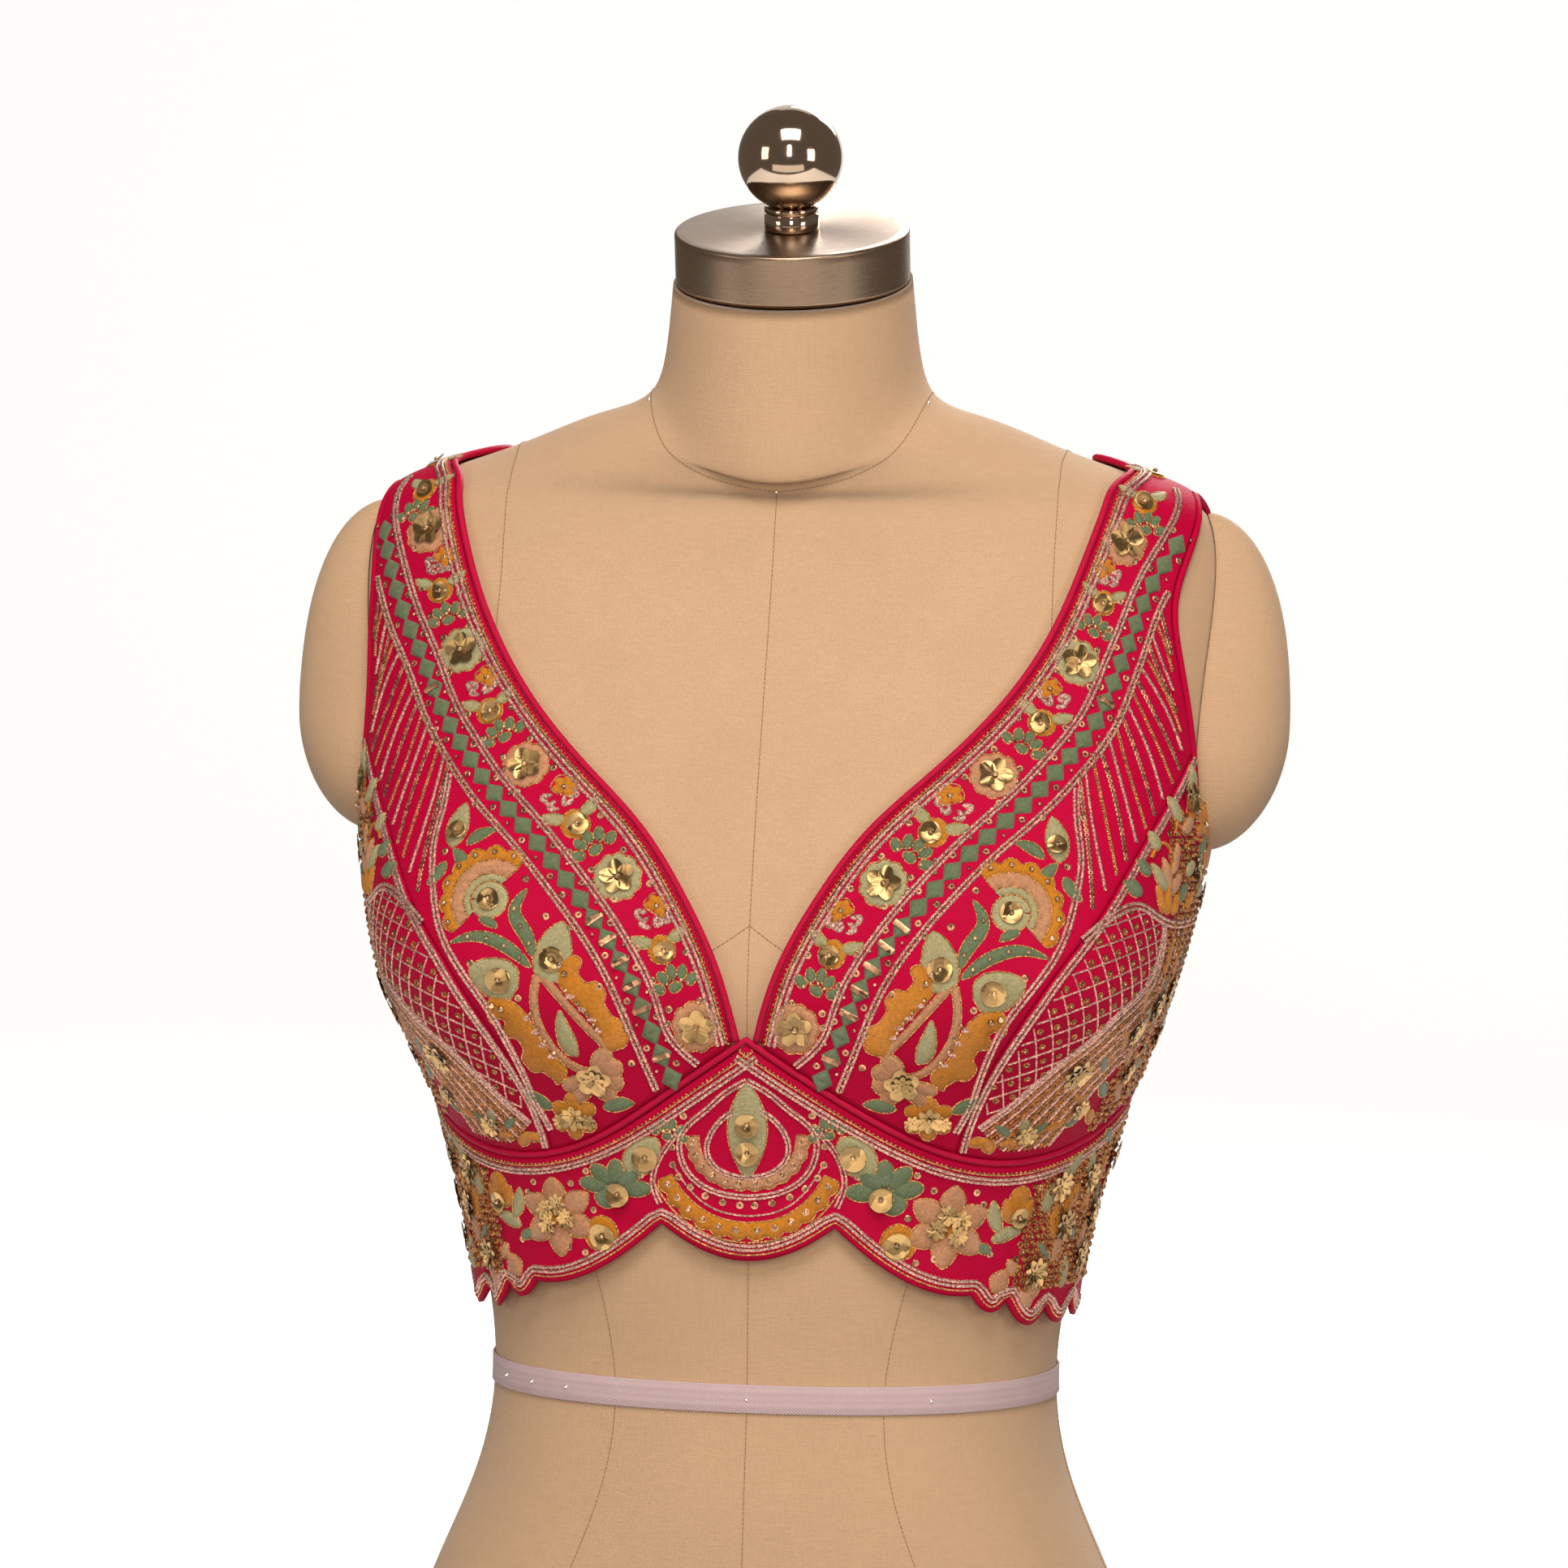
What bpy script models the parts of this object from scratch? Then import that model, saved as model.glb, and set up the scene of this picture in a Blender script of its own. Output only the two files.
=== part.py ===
"""Choli blouse worn on a limbless dress form, in metres with +Z up.

The form is a stack of cross sections from the hips to the neck. Every place on it has an angle round the
body, 0 at the centre front and 180 at the centre back, positive to the picture's right, and a rise up the
side line in millimetres from the waist. The blouse is cut from the same surface, moved out by the cloth's
gap, so each panel is a patch between its seam lines, and each piping lies along the edge that it finishes.
Left and right are the picture's.
"""

import math

import bmesh
import bpy
import numpy as np

MM = 0.001

# Form, in millimetres. Rises are measured up the side line from the waist.
WAIST_ROW = 5
# Each row holds height, half_width, front, back, centre_y, square, front_drop, back_rise and planar.
SECTIONS = (
    (12, 160, 102, 112, 4, 0.10, 0, 0, 0),
    (50, 169, 108, 121, 4, 0.10, 0, 0, 0),
    (95, 164, 107, 118, 3, 0.10, 0, 0, 0),
    (150, 146, 101, 104, 2, 0.10, 0, 0, 0),
    (195, 128, 95, 93, 0, 0.09, 0, 0, 0),
    (235, 122, 91, 88, 0, 0.08, 0, 0, 0),
    (280, 127, 93, 89, 0, 0.08, 0, 0, 0),
    (330, 138.5, 97, 93, 1, 0.08, 0, 0, 0),
    (385, 156, 100, 100, 3, 0.10, 0, 0, 0),
    (440, 172, 97, 106, 5, 0.11, 0, 0, 0),
    (495, 182, 92, 107, 8, 0.12, 0, 0, 0),
    (545, 187, 80, 101, 11, 0.11, 0, 0, 0),
    (583, 187, 69, 90, 13, 0.09, 2, 0, 0),
    (609, 178, 62, 80, 13, 0.07, 5, 0, 0),
    (623, 153, 58, 74, 12, 0.05, 11, 2, 0),
    (635.5, 117, 56.5, 68, 9, 0.03, 20, 4, 0),
    (649, 82, 56, 62, 5, 0, 29, 6, 0),
    (659, 60.5, 56, 56, 1, 0, 36, 10, 0.1),
    (672, 55.5, 55, 54, -1, 0, 29, 14, 0.5),
    (690, 53, 53.5, 53, -3, 0, 20, 16, 0.9),
    (706, 51.5, 51.5, 51.5, -5, 0, 16, 16, 1),
)
BUST_ANGLE, BUST_RISE, BUST_OUT, BUST_AIM = 39, 185, 37, 30
BUST_HALF_ANGLE, BUST_ABOVE, BUST_BELOW = 33, 75, 50
FORM_COLUMNS = 44
MM_A_DEGREE = 2.4  # what a degree round the chest is worth, for spreading points along a line
FORM_GAP = 0.3
BASE_THICK = 11.7
CAP_RADIUS, CAP_HEIGHT, CAP_TILT = 50.5, 22.5, 17
CAP_FOOT_BEVEL, CAP_BEVEL, CAP_BEVEL_MIDDLE = 0.5, 1.5, 0.45
COLLAR_RADIUS, COLLAR_HEIGHT, BALL_RADIUS = 11.75, 10, 22.5
BALL_SEAT = 0.8  # the ball's flat foot, as a share of the collar
TAPE_HEIGHT, TAPE_THICK = 12, 0.9
SHOULDER_CAP_OUT, SHOULDER_CAP_EDGE, SHOULDER_CAP_GAP = 31, 1.2, 0.7
SHOULDER_CAP_ANGLE, SHOULDER_CAP_HALF_ANGLE = 90, 18
SHOULDER_CAP_LOW, SHOULDER_CAP_MIDDLE, SHOULDER_CAP_HIGH = 237, 285, 382
SHOULDER_CAP_TAPER = 0.6  # how much flatter the dome falls off towards its top

# Blouse, in millimetres. The gap is from the form to the cloth's inner face.
CLOTH_THICK = 2.0
SEAM_GAP = 0.3
CORD_RADIUS = 1.5
BODY_GAP, SHOULDER_GAP, BACK_EDGE_GAP = 2.5, 1.6, 3.2
SHOULDER_GAP_RISE, SHOULDER_GAP_EASE, BACK_EDGE_REACH = 375, 9, 9
HEM_FLARE, HEM_FLARE_RISE, HEM_FLARE_HEIGHT, HEM_FLARE_MOST = 5.0, 35, 60, 1.2
SIDE_FLARE, FLARE_HALF_ANGLE = 0.35, 60
FOLD_ANGLE, FOLD_HALF_ANGLE, FOLD_DEPTH = -62, 4, 3.0
SIDE_SEAM_ANGLE = 93
BACK_EDGE_HALF = 0.6
HOOK_COUNT, HOOK_RADIUS, HOOK_LENGTH, HOOK_WIDTH, HOOK_TURN = 5, 0.45, 9, 4.5, 140
FIRST_HOOK, LAST_HOOK = 58, 238
PLACKET_HALF, PLACKET_THICK, PLACKET_FORM_GAP = 11, 1.0, 0.5
PLACKET_LOW, PLACKET_HIGH = 46, 246

# How the blouse sits off true: the straps towards the picture's left, the left underbust a little low.
STRAP_LEAN, LEAN_ANGLE, LEAN_WIDE, LEAN_RISE, LEAN_TALL = 3.75, 63, 16, 340, 38
CUP_DROP, DROP_ANGLE, DROP_WIDE, DROP_RISE, DROP_TALL = 4.5, -28, 30, 118, 28

# Seam lines as angle and rise. Each ends where the next one starts.
NECK_EDGE = (
    (1.7, 157), (3.6, 184), (7.8, 217), (13.5, 246), (20.3, 268), (28, 292),
    (34, 315), (39, 340), (44.5, 367), (56, 397), (90, 422), (99, 430),
    (109, 429), (119, 404), (131, 352), (145, 302), (162, 268), (180, 258),
)
ARMHOLE = (
    (90, 393), (73, 379), (65.5, 361), (62.5, 344), (63, 322), (65, 298),
    (68, 274), (72, 250), (79, 232), (91, 223), (102, 231), (110, 253),
    (115, 285), (117, 318), (114, 350), (105, 379),
)
UNDERBUST = (
    (0, 158), (3, 151), (10, 137), (20, 121), (31, 109), (43, 104),
    (54, 106), (66, 113), (80, 124), (93, 131),
)
PRINCESS_SEAM = (
    (33.5, 109), (33, 144), (34.5, 170), (38.5, 192), (44.5, 213), (50, 232), (59, 257), (67.3, 279),
)
# Each row holds from_angle, to_angle, from_rise, to_rise, depth, count and steps.
SCALLOPS = (
    (-14.5, 14.5, 75, 75, 15, 1, 10),
    (14.5, 42, 75, 46, 8.5, 1, 8),
    (42, 51, 46, 43, 6, 1, 5),
    (51, 64.5, 43, 38, 9, 1, 5),
    (64.5, SIDE_SEAM_ANGLE, 38, 38, 8, 2, 5),
    (SIDE_SEAM_ANGLE, 180, 38, 38, 8, 6, 4),
)

CRIMSON = (0.62, 0.012, 0.075)
PIPING = (0.50, 0.006, 0.050)
LINEN = (0.62, 0.40, 0.21)
STEEL = (0.62, 0.55, 0.47)
TAPE = (0.62, 0.42, 0.42)
BOARD = (0.30, 0.20, 0.12)


def clear_scene():
    for thing in list(bpy.data.objects):
        bpy.data.objects.remove(thing, do_unlink=True)


def finish(thing, colour, roughness=0.7, metallic=0.0):
    """Give the object a material of its own with the piece's colour."""
    material = bpy.data.materials.new(thing.name)
    material.use_nodes = True
    shader = material.node_tree.nodes["Principled BSDF"]
    shader.inputs["Base Color"].default_value = (*colour, 1)
    shader.inputs["Roughness"].default_value = roughness
    shader.inputs["Metallic"].default_value = metallic
    thing.data.materials.append(material)
    return thing


def natural_spline(knots, rows):
    """A natural cubic spline through the rows, one at each knot."""
    knots, rows = np.asarray(knots, float), np.asarray(rows, float)
    count, step = len(knots), np.diff(knots)
    matrix, right = np.eye(count), np.zeros_like(rows)
    for i in range(1, count - 1):
        matrix[i, i - 1 : i + 2] = step[i - 1], 2 * (step[i - 1] + step[i]), step[i]
        right[i] = 6 * ((rows[i + 1] - rows[i]) / step[i] - (rows[i] - rows[i - 1]) / step[i - 1])
    bend = np.linalg.solve(matrix, right)

    def at(where):
        where = np.asarray(where, float)
        i = np.clip(np.searchsorted(knots, where) - 1, 0, count - 2)
        past, width = (where - knots[i])[..., None], step[i][..., None]
        left = width - past
        return (
            (bend[i] * left**3 + bend[i + 1] * past**3) / (6 * width)
            + (rows[i + 1] / width - bend[i + 1] * width / 6) * past
            + (rows[i] / width - bend[i] * width / 6) * left
        )

    return at


def side_line_rises():
    sides = np.array([row[:2] for row in SECTIONS], float)
    along = np.concatenate([[0], np.cumsum(np.hypot(*np.diff(sides, axis=0).T))])
    return along - along[WAIST_ROW]


RISES = side_line_rises()
section_at = natural_spline(RISES, SECTIONS)


def skin(angle, rise):
    """The form's surface, in millimetres, at an angle in degrees and a rise in millimetres."""
    section = np.moveaxis(section_at(rise), -1, 0)
    height, half_width, front, back, centre_y, square, drop, lift, planar = section
    sine, cosine = np.sin(np.radians(angle)), np.cos(np.radians(angle))
    depth = np.where(cosine > 0, front, back)
    tilt = planar * np.abs(cosine) + (1 - planar) * cosine**2
    x = half_width * sine * (1 + square * cosine**2)
    y = centre_y - depth * cosine * (1 + square * sine**2)
    z = height - np.where(cosine > 0, drop, -lift) * tilt
    aim = math.radians(BUST_AIM)
    for side in (-1, 1):
        off_angle = ((side * angle - BUST_ANGLE + 180) % 360 - 180) / BUST_HALF_ANGLE
        off_rise = (rise - BUST_RISE) / np.where(rise > BUST_RISE, BUST_ABOVE, BUST_BELOW)
        out = BUST_OUT * np.exp(-(off_angle**2) - off_rise**2)
        x = x + side * out * math.sin(aim)
        y = y - out * math.cos(aim)
    return np.stack([x, y, z], -1)


def out_of(angle, rise):
    """The surface's unit normal, facing out."""
    small = 0.5
    round_way = skin(angle + small, rise) - skin(angle - small, rise)
    up_way = skin(angle, rise + small) - skin(angle, rise - small)
    normal = np.cross(round_way, up_way)
    return normal / np.linalg.norm(normal, axis=-1, keepdims=True)


def place(chart, off):
    """Points in metres over chart positions, at an offset from the form in millimetres."""
    angle, rise = chart[..., 0], chart[..., 1]
    off = np.broadcast_to(np.asarray(off, float), angle.shape)
    return (skin(angle, rise) + out_of(angle, rise) * off[..., None]) * MM


def cloth_gap(chart):
    """From the form to the cloth: close over the shoulders, wider at the hem and under the back opening."""
    angle, rise = chart[..., 0], chart[..., 1]
    shoulder = 1 / (1 + np.exp((SHOULDER_GAP_RISE - rise) / SHOULDER_GAP_EASE))
    opening = np.exp(-(((180 - np.abs(angle)) / BACK_EDGE_REACH) ** 2))
    gap = BODY_GAP + (SHOULDER_GAP - BODY_GAP) * shoulder + (BACK_EDGE_GAP - BODY_GAP) * opening
    low = np.clip(1 - (rise - HEM_FLARE_RISE) / HEM_FLARE_HEIGHT, 0, HEM_FLARE_MOST) ** 2
    flare = SIDE_FLARE + (1 - SIDE_FLARE) * np.exp(-((angle / FLARE_HALF_ANGLE) ** 4))
    fold = FOLD_DEPTH * np.exp(-(((angle - FOLD_ANGLE) / FOLD_HALF_ANGLE) ** 2))
    return gap + low * (HEM_FLARE * flare - fold)


def curve(rows, count, start=0.0, stop=1.0, closed=False):
    """Chart points along a seam line, evenly spread, between two shares of its length."""
    rows = np.array(rows + (rows[:1] if closed else ()), float)
    knots = np.concatenate([[0], np.cumsum(np.hypot(np.diff(rows[:, 0]) * MM_A_DEGREE, np.diff(rows[:, 1])))])
    total = knots[-1]
    if closed:
        knots = np.concatenate([knots[-4:-1] - total, knots, knots[1:4] + total])
        rows = np.concatenate([rows[-4:-1], rows, rows[1:4]])
    return natural_spline(knots, rows)(np.linspace(start, stop, count) * total)


def share_at(rows, column, value, closed=False, after=0.0):
    """The share of a seam line's length where a column first reaches a value, past a given share."""
    tries = 4001
    line = curve(rows, tries, after, 1, closed)[:, column]
    crossing = np.nonzero(np.diff(np.sign(line - value)))[0][0]
    return np.linspace(after, 1, tries)[crossing]


def millimetres_each(chart):
    """How many millimetres a degree and a unit of rise are worth at each chart point."""
    degree, unit = np.array([0.5, 0]), np.array([0, 0.5])
    wide = np.linalg.norm(place(chart + degree, 0) - place(chart - degree, 0), axis=-1) / MM
    tall = np.linalg.norm(place(chart + unit, 0) - place(chart - unit, 0), axis=-1) / MM
    return np.stack([wide, tall], -1)


def beside(chart, distance, closed=False):
    """A seam line moved sideways on the surface, to the left of its own direction."""
    scale = millimetres_each(chart)
    around = np.concatenate([chart[-1:], chart, chart[:1]])
    along = (np.gradient(around, axis=0)[1:-1] if closed else np.gradient(chart, axis=0)) * scale
    along /= np.linalg.norm(along, axis=1, keepdims=True)
    aside = np.stack([-along[:, 1], along[:, 0]], -1)
    return chart + aside * distance / scale


def patch(bottom, top, left, right):
    """A Coons patch in the chart between four seam lines. Rows run from the bottom to the top."""
    rows, columns = len(left), len(bottom)
    v, u = np.meshgrid(np.linspace(0, 1, rows), np.linspace(0, 1, columns), indexing="ij")
    u, v = u[..., None], v[..., None]
    across = (1 - v) * bottom[None] + v * top[None]
    along = (1 - u) * left[:, None] + u * right[:, None]
    low_corners = (1 - u) * bottom[0] + u * bottom[-1]
    high_corners = (1 - u) * top[0] + u * top[-1]
    return across + along - (1 - v) * low_corners - v * high_corners


def drawn_in(grid, sides):
    """Pull the named edges of a chart grid in by half the seam gap."""
    grid = grid.copy()
    edges = {
        "bottom": (np.s_[0], np.s_[1]),
        "top": (np.s_[-1], np.s_[-2]),
        "left": (np.s_[:, 0], np.s_[:, 1]),
        "right": (np.s_[:, -1], np.s_[:, -2]),
    }
    for side in sides:
        edge, inner = edges[side]
        way = grid[inner] - grid[edge]
        length = np.linalg.norm(way * millimetres_each(grid[edge]), axis=-1, keepdims=True)
        grid[edge] = grid[edge] + way * (SEAM_GAP / 2) / length
    return grid


def closed_mesh(name, points, faces):
    mesh = bpy.data.meshes.new(name)
    mesh.from_pydata([tuple(p) for p in points], [], faces)
    body = bmesh.new()
    body.from_mesh(mesh)
    bmesh.ops.recalc_face_normals(body, faces=body.faces)
    body.to_mesh(mesh)
    body.free()
    mesh.shade_smooth()
    mesh.set_sharp_from_angle(angle=math.radians(50))
    thing = bpy.data.objects.new(name, mesh)
    bpy.context.scene.collection.objects.link(thing)
    return thing


def grid_faces(rows, columns, first, closed):
    """Quads of one layer of a grid whose points start at index first."""
    spans = columns if closed else columns - 1
    return [
        [first + r * columns + c, first + r * columns + (c + 1) % columns,
         first + (r + 1) * columns + (c + 1) % columns, first + (r + 1) * columns + c]
        for r in range(rows - 1)
        for c in range(spans)
    ]


def wall(name, chart, inner, outer, colour, roughness=0.7, closed=False):
    """A closed wall over a chart grid, between two offsets from the form."""
    rows, columns = chart.shape[:2]
    count = rows * columns
    points = np.concatenate([place(chart, outer).reshape(-1, 3), place(chart, inner).reshape(-1, 3)])
    faces = grid_faces(rows, columns, 0, closed) + grid_faces(rows, columns, count, closed)
    bottom = list(range(columns))
    top = list(range((rows - 1) * columns, rows * columns))
    if closed:
        rims = [bottom + bottom[:1], top + top[:1]]
    else:
        left = [r * columns for r in range(rows)]
        right = [r * columns + columns - 1 for r in range(rows)]
        rims = [bottom, top, left, right]
    for rim in rims:
        faces += [[a, b, b + count, a + count] for a, b in zip(rim, rim[1:])]
    return finish(closed_mesh(name, points, faces), colour, roughness)


def worn(chart, side=1):
    """Where a seam line or panel lies on the form. A side of -1 mirrors it to the picture's left."""
    angle, rise = chart[..., 0] * side, chart[..., 1]
    lean = np.exp(-(((np.abs(angle) - LEAN_ANGLE) / LEAN_WIDE) ** 2) - ((rise - LEAN_RISE) / LEAN_TALL) ** 2)
    drop = np.exp(-(((angle - DROP_ANGLE) / DROP_WIDE) ** 2) - ((rise - DROP_RISE) / DROP_TALL) ** 2)
    return np.stack([angle - STRAP_LEAN * lean, rise - CUP_DROP * drop], -1)


def cloth(name, chart, side=1):
    """A panel of the blouse."""
    chart = worn(chart, side)
    gap = cloth_gap(chart)
    return wall(name, chart, gap, gap + CLOTH_THICK, CRIMSON)


def cord(name, points, radius, colour, closed=False, roughness=0.6, metallic=0.0, turns=1):
    """A round cord or wire along points in metres."""
    data = bpy.data.curves.new(name, "CURVE")
    data.dimensions = "3D"
    data.bevel_depth = radius * MM
    data.bevel_resolution = turns
    data.use_fill_caps = True
    spline = data.splines.new("POLY")
    spline.points.add(len(points) - 1)
    for slot, point in zip(spline.points, points):
        slot.co = (*point, 1)
    spline.use_cyclic_u = closed
    thing = bpy.data.objects.new(name, data)
    bpy.context.scene.collection.objects.link(thing)
    return finish(thing, colour, roughness, metallic)


def piping(name, chart, side, closed=False):
    """The cord that finishes an edge, moved past the edge's points by the seam gap and its own radius."""
    line = worn(beside(chart, CORD_HALF, closed), side)
    middle = cloth_gap(line) + CLOTH_THICK / 2
    return cord(name, place(line, middle), CORD_RADIUS, PIPING, closed)


def scallop_edge(start, stop):
    """Chart points of the scalloped hem between two angles."""
    points = []
    for from_angle, to_angle, from_rise, to_rise, depth, count, steps in SCALLOPS:
        for i in range(count):
            within = np.linspace(0, 1, steps + 1)
            share = (i + within) / count
            angle = from_angle + (to_angle - from_angle) * share
            rise = from_rise + (to_rise - from_rise) * share - depth * (1 - (2 * within - 1) ** 2)
            points += list(zip(angle, rise))[bool(points) :]
    edge = np.array(points)
    mirrored = edge[edge[:, 0] > SCALLOPS[0][1]][::-1] * (-1, 1)
    edge = np.concatenate([mirrored, edge])
    return edge[(edge[:, 0] > start - 1e-6) & (edge[:, 0] < stop + 1e-6)]


def underbust_line(angle):
    """The underbust seam's rise at each angle, the same on both sides."""
    line = curve(UNDERBUST, 400)
    return np.interp(np.abs(angle), line[:, 0], line[:, 1])


NECK_SHOULDER = share_at(NECK_EDGE, 0, 90)
ARM_PRINCESS = share_at(ARMHOLE, 1, PRINCESS_SEAM[-1][1], closed=True)
ARM_SIDE = share_at(ARMHOLE, 0, SIDE_SEAM_ANGLE, closed=True, after=ARM_PRINCESS)
CORD_HALF = CORD_RADIUS + SEAM_GAP
CUP_ROWS, CUP_UPPER, SIDE_ACROSS, BACK_UPPER = 29, 13, 9, 12


def build_cup_fronts():
    """The main cup with the front strap, from the underbust seam to the shoulder seam."""
    across = 9
    princess = curve(PRINCESS_SEAM, CUP_ROWS - CUP_UPPER + 1)
    armhole = curve(ARMHOLE, CUP_UPPER, ARM_PRINCESS, 0, closed=True)
    princess[-1] = armhole[0]
    outer = np.concatenate([princess, armhole[1:]])
    neck = curve(NECK_EDGE, CUP_ROWS, 0, NECK_SHOULDER)
    angles = np.linspace(neck[0, 0], princess[0, 0], across)
    bottom = beside(np.stack([angles, underbust_line(angles)], -1), CORD_HALF)
    bottom[0], outer[0] = neck[0], bottom[-1]
    top = neck[-1] + (outer[-1] - neck[-1]) * np.linspace(0, 1, across)[:, None]
    grid = drawn_in(patch(bottom, top, neck, outer), ("top", "right"))
    cloth("cup_front_right", grid)
    cloth("cup_front_left", grid, -1)


def build_cup_sides():
    """The side cup, from the princess seam round to the side seam."""
    rows = CUP_ROWS - CUP_UPPER + 1
    princess = curve(PRINCESS_SEAM, rows)
    armhole = curve(ARMHOLE, SIDE_ACROSS, ARM_PRINCESS, ARM_SIDE, closed=True)
    princess[-1] = armhole[0]
    angles = np.linspace(princess[0, 0], SIDE_SEAM_ANGLE, SIDE_ACROSS)
    bottom = beside(np.stack([angles, underbust_line(angles)], -1), CORD_HALF)
    princess[0] = bottom[0]
    side = bottom[-1] + (armhole[-1] - bottom[-1]) * np.linspace(0, 1, rows)[:, None]
    grid = drawn_in(patch(bottom, armhole, princess, side), ("left", "right"))
    cloth("cup_side_right", grid)
    cloth("cup_side_left", grid, -1)


def build_band_front():
    """The scalloped band under the bust, from side seam to side seam."""
    rows = 6
    hem = scallop_edge(-SIDE_SEAM_ANGLE, SIDE_SEAM_ANGLE)
    seam = np.stack([hem[:, 0], underbust_line(hem[:, 0])], -1)
    top = beside(seam, -CORD_HALF)
    top[:, 0] = np.clip(top[:, 0], -SIDE_SEAM_ANGLE, SIDE_SEAM_ANGLE)
    left = hem[0] + (top[0] - hem[0]) * np.linspace(0, 1, rows)[:, None]
    right = hem[-1] + (top[-1] - hem[-1]) * np.linspace(0, 1, rows)[:, None]
    cloth("band_front", drawn_in(patch(hem, top, left, right), ("left", "right")))


def build_backs():
    """Each back in one piece with its strap, from the scalloped hem to the shoulder seam."""
    lower = 7
    edge_angle = 180 - BACK_EDGE_HALF / millimetres_each(np.array([180.0, 150.0]))[0]
    hem = scallop_edge(SIDE_SEAM_ANGLE, 180)
    hem[-1, 0] = edge_angle
    neck = curve(NECK_EDGE, BACK_UPPER, 1, NECK_SHOULDER)
    neck[0, 0] = edge_angle
    armhole = curve(ARMHOLE, BACK_UPPER, ARM_SIDE, 1, closed=True)
    steps = np.linspace(0, 1, lower)[:, None]
    centre = np.concatenate([hem[-1] + (neck[0] - hem[-1]) * steps, neck[1:]])
    side = np.concatenate([hem[0] + (armhole[0] - hem[0]) * steps, armhole[1:]])
    top = side[-1] + (centre[-1] - side[-1]) * np.linspace(0, 1, len(hem))[:, None]
    grid = drawn_in(patch(hem, top, side, centre), ("left", "top"))
    cloth("back_right", grid)
    cloth("back_left", grid, -1)


def build_pipings():
    """Cords along the neck, the armholes and the underbust seam, through the panels' own edge points."""
    neck_front = curve(NECK_EDGE, CUP_ROWS, 0, NECK_SHOULDER)
    neck = np.concatenate([neck_front, curve(NECK_EDGE, BACK_UPPER, NECK_SHOULDER, 1)[1:]])
    neck[-1, 0] = 180 - BACK_EDGE_HALF / 2
    armhole = np.concatenate([
        curve(ARMHOLE, CUP_UPPER, 0, ARM_PRINCESS, closed=True),
        curve(ARMHOLE, SIDE_ACROSS, ARM_PRINCESS, ARM_SIDE, closed=True)[1:],
        curve(ARMHOLE, BACK_UPPER, ARM_SIDE, 1, closed=True)[1:-1],
    ])
    for side, word in ((1, "right"), (-1, "left")):
        piping(f"neck_piping_{word}", neck, side)
        piping(f"armhole_piping_{word}", armhole, side, closed=True)
    angles = scallop_edge(-SIDE_SEAM_ANGLE, SIDE_SEAM_ANGLE)[:, 0]
    seam = np.stack([angles, underbust_line(angles)], -1)
    end_gap = SEAM_GAP / millimetres_each(seam[-1])[0]
    seam[[0, -1], 0] += end_gap, -end_gap
    seam = worn(seam)
    middle = cloth_gap(seam) + CLOTH_THICK / 2
    cord("underbust_piping", place(seam, middle), CORD_RADIUS, PIPING)


def build_back_closing():
    """A placket behind the back opening, with hooks between it and the cloth."""
    degree = millimetres_each(np.array([180.0, 150.0]))[0]
    half = PLACKET_HALF / degree
    rises, angles = np.linspace(PLACKET_LOW, PLACKET_HIGH, 10), np.linspace(180 - half, 180 + half, 3)
    chart = np.stack(np.meshgrid(angles, rises), -1)
    wall("back_placket", chart, PLACKET_FORM_GAP, PLACKET_FORM_GAP + PLACKET_THICK, CRIMSON)
    off = PLACKET_FORM_GAP + PLACKET_THICK + SEAM_GAP + HOOK_RADIUS
    for i, rise in enumerate(np.linspace(FIRST_HOOK, LAST_HOOK, HOOK_COUNT)):
        turn = np.radians(np.linspace(-HOOK_TURN, HOOK_TURN, 9))
        across = 180 + HOOK_LENGTH / 2 * np.cos(turn) / degree
        chart = np.stack([across, rise + HOOK_WIDTH / 2 * np.sin(turn)], -1)
        cord(f"hook_{i + 1}", place(chart, off), HOOK_RADIUS, STEEL, roughness=0.3, metallic=1.0)


def build_form():
    """The torso, a shoulder cap on each side, the waist tape, and the board that it stands on."""
    angles = np.linspace(-180, 180, FORM_COLUMNS + 1)[:-1]
    tape_edges = TAPE_HEIGHT / 2 * np.array([-1, 1])
    between = (RISES[WAIST_ROW - 1 : -4] + RISES[WAIST_ROW:-3]) / 2
    rises = np.sort(np.concatenate([RISES, between, tape_edges]))
    chart = np.stack(np.meshgrid(angles, rises), -1)
    points = place(chart, 0).reshape(-1, 3)
    faces = grid_faces(len(rises), FORM_COLUMNS, 0, True)
    faces.append(list(range(FORM_COLUMNS)))
    faces.append(list(range(len(points) - FORM_COLUMNS, len(points))))
    finish(closed_mesh("form_torso", points, faces), LINEN, 0.85)

    board = place(np.stack(np.meshgrid(angles, RISES[:1]), -1), 0)[0]
    levels = np.concatenate([board * (1, 1, 0), board * (1, 1, 0) + (0, 0, BASE_THICK * MM)])
    count = FORM_COLUMNS
    faces = [list(range(count)), list(range(count, 2 * count))] + grid_faces(2, count, 0, True)
    finish(closed_mesh("form_base", levels, faces), BOARD, 0.6)

    chart = np.stack(np.meshgrid(angles, (tape_edges[0], 0, tape_edges[1])), -1)
    wall("form_waist_tape", chart, FORM_GAP, FORM_GAP + TAPE_THICK, TAPE, 0.8, closed=True)

    for side, word in ((1, "right"), (-1, "left")):
        build_shoulder_cap(f"form_shoulder_{word}", side)


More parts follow.
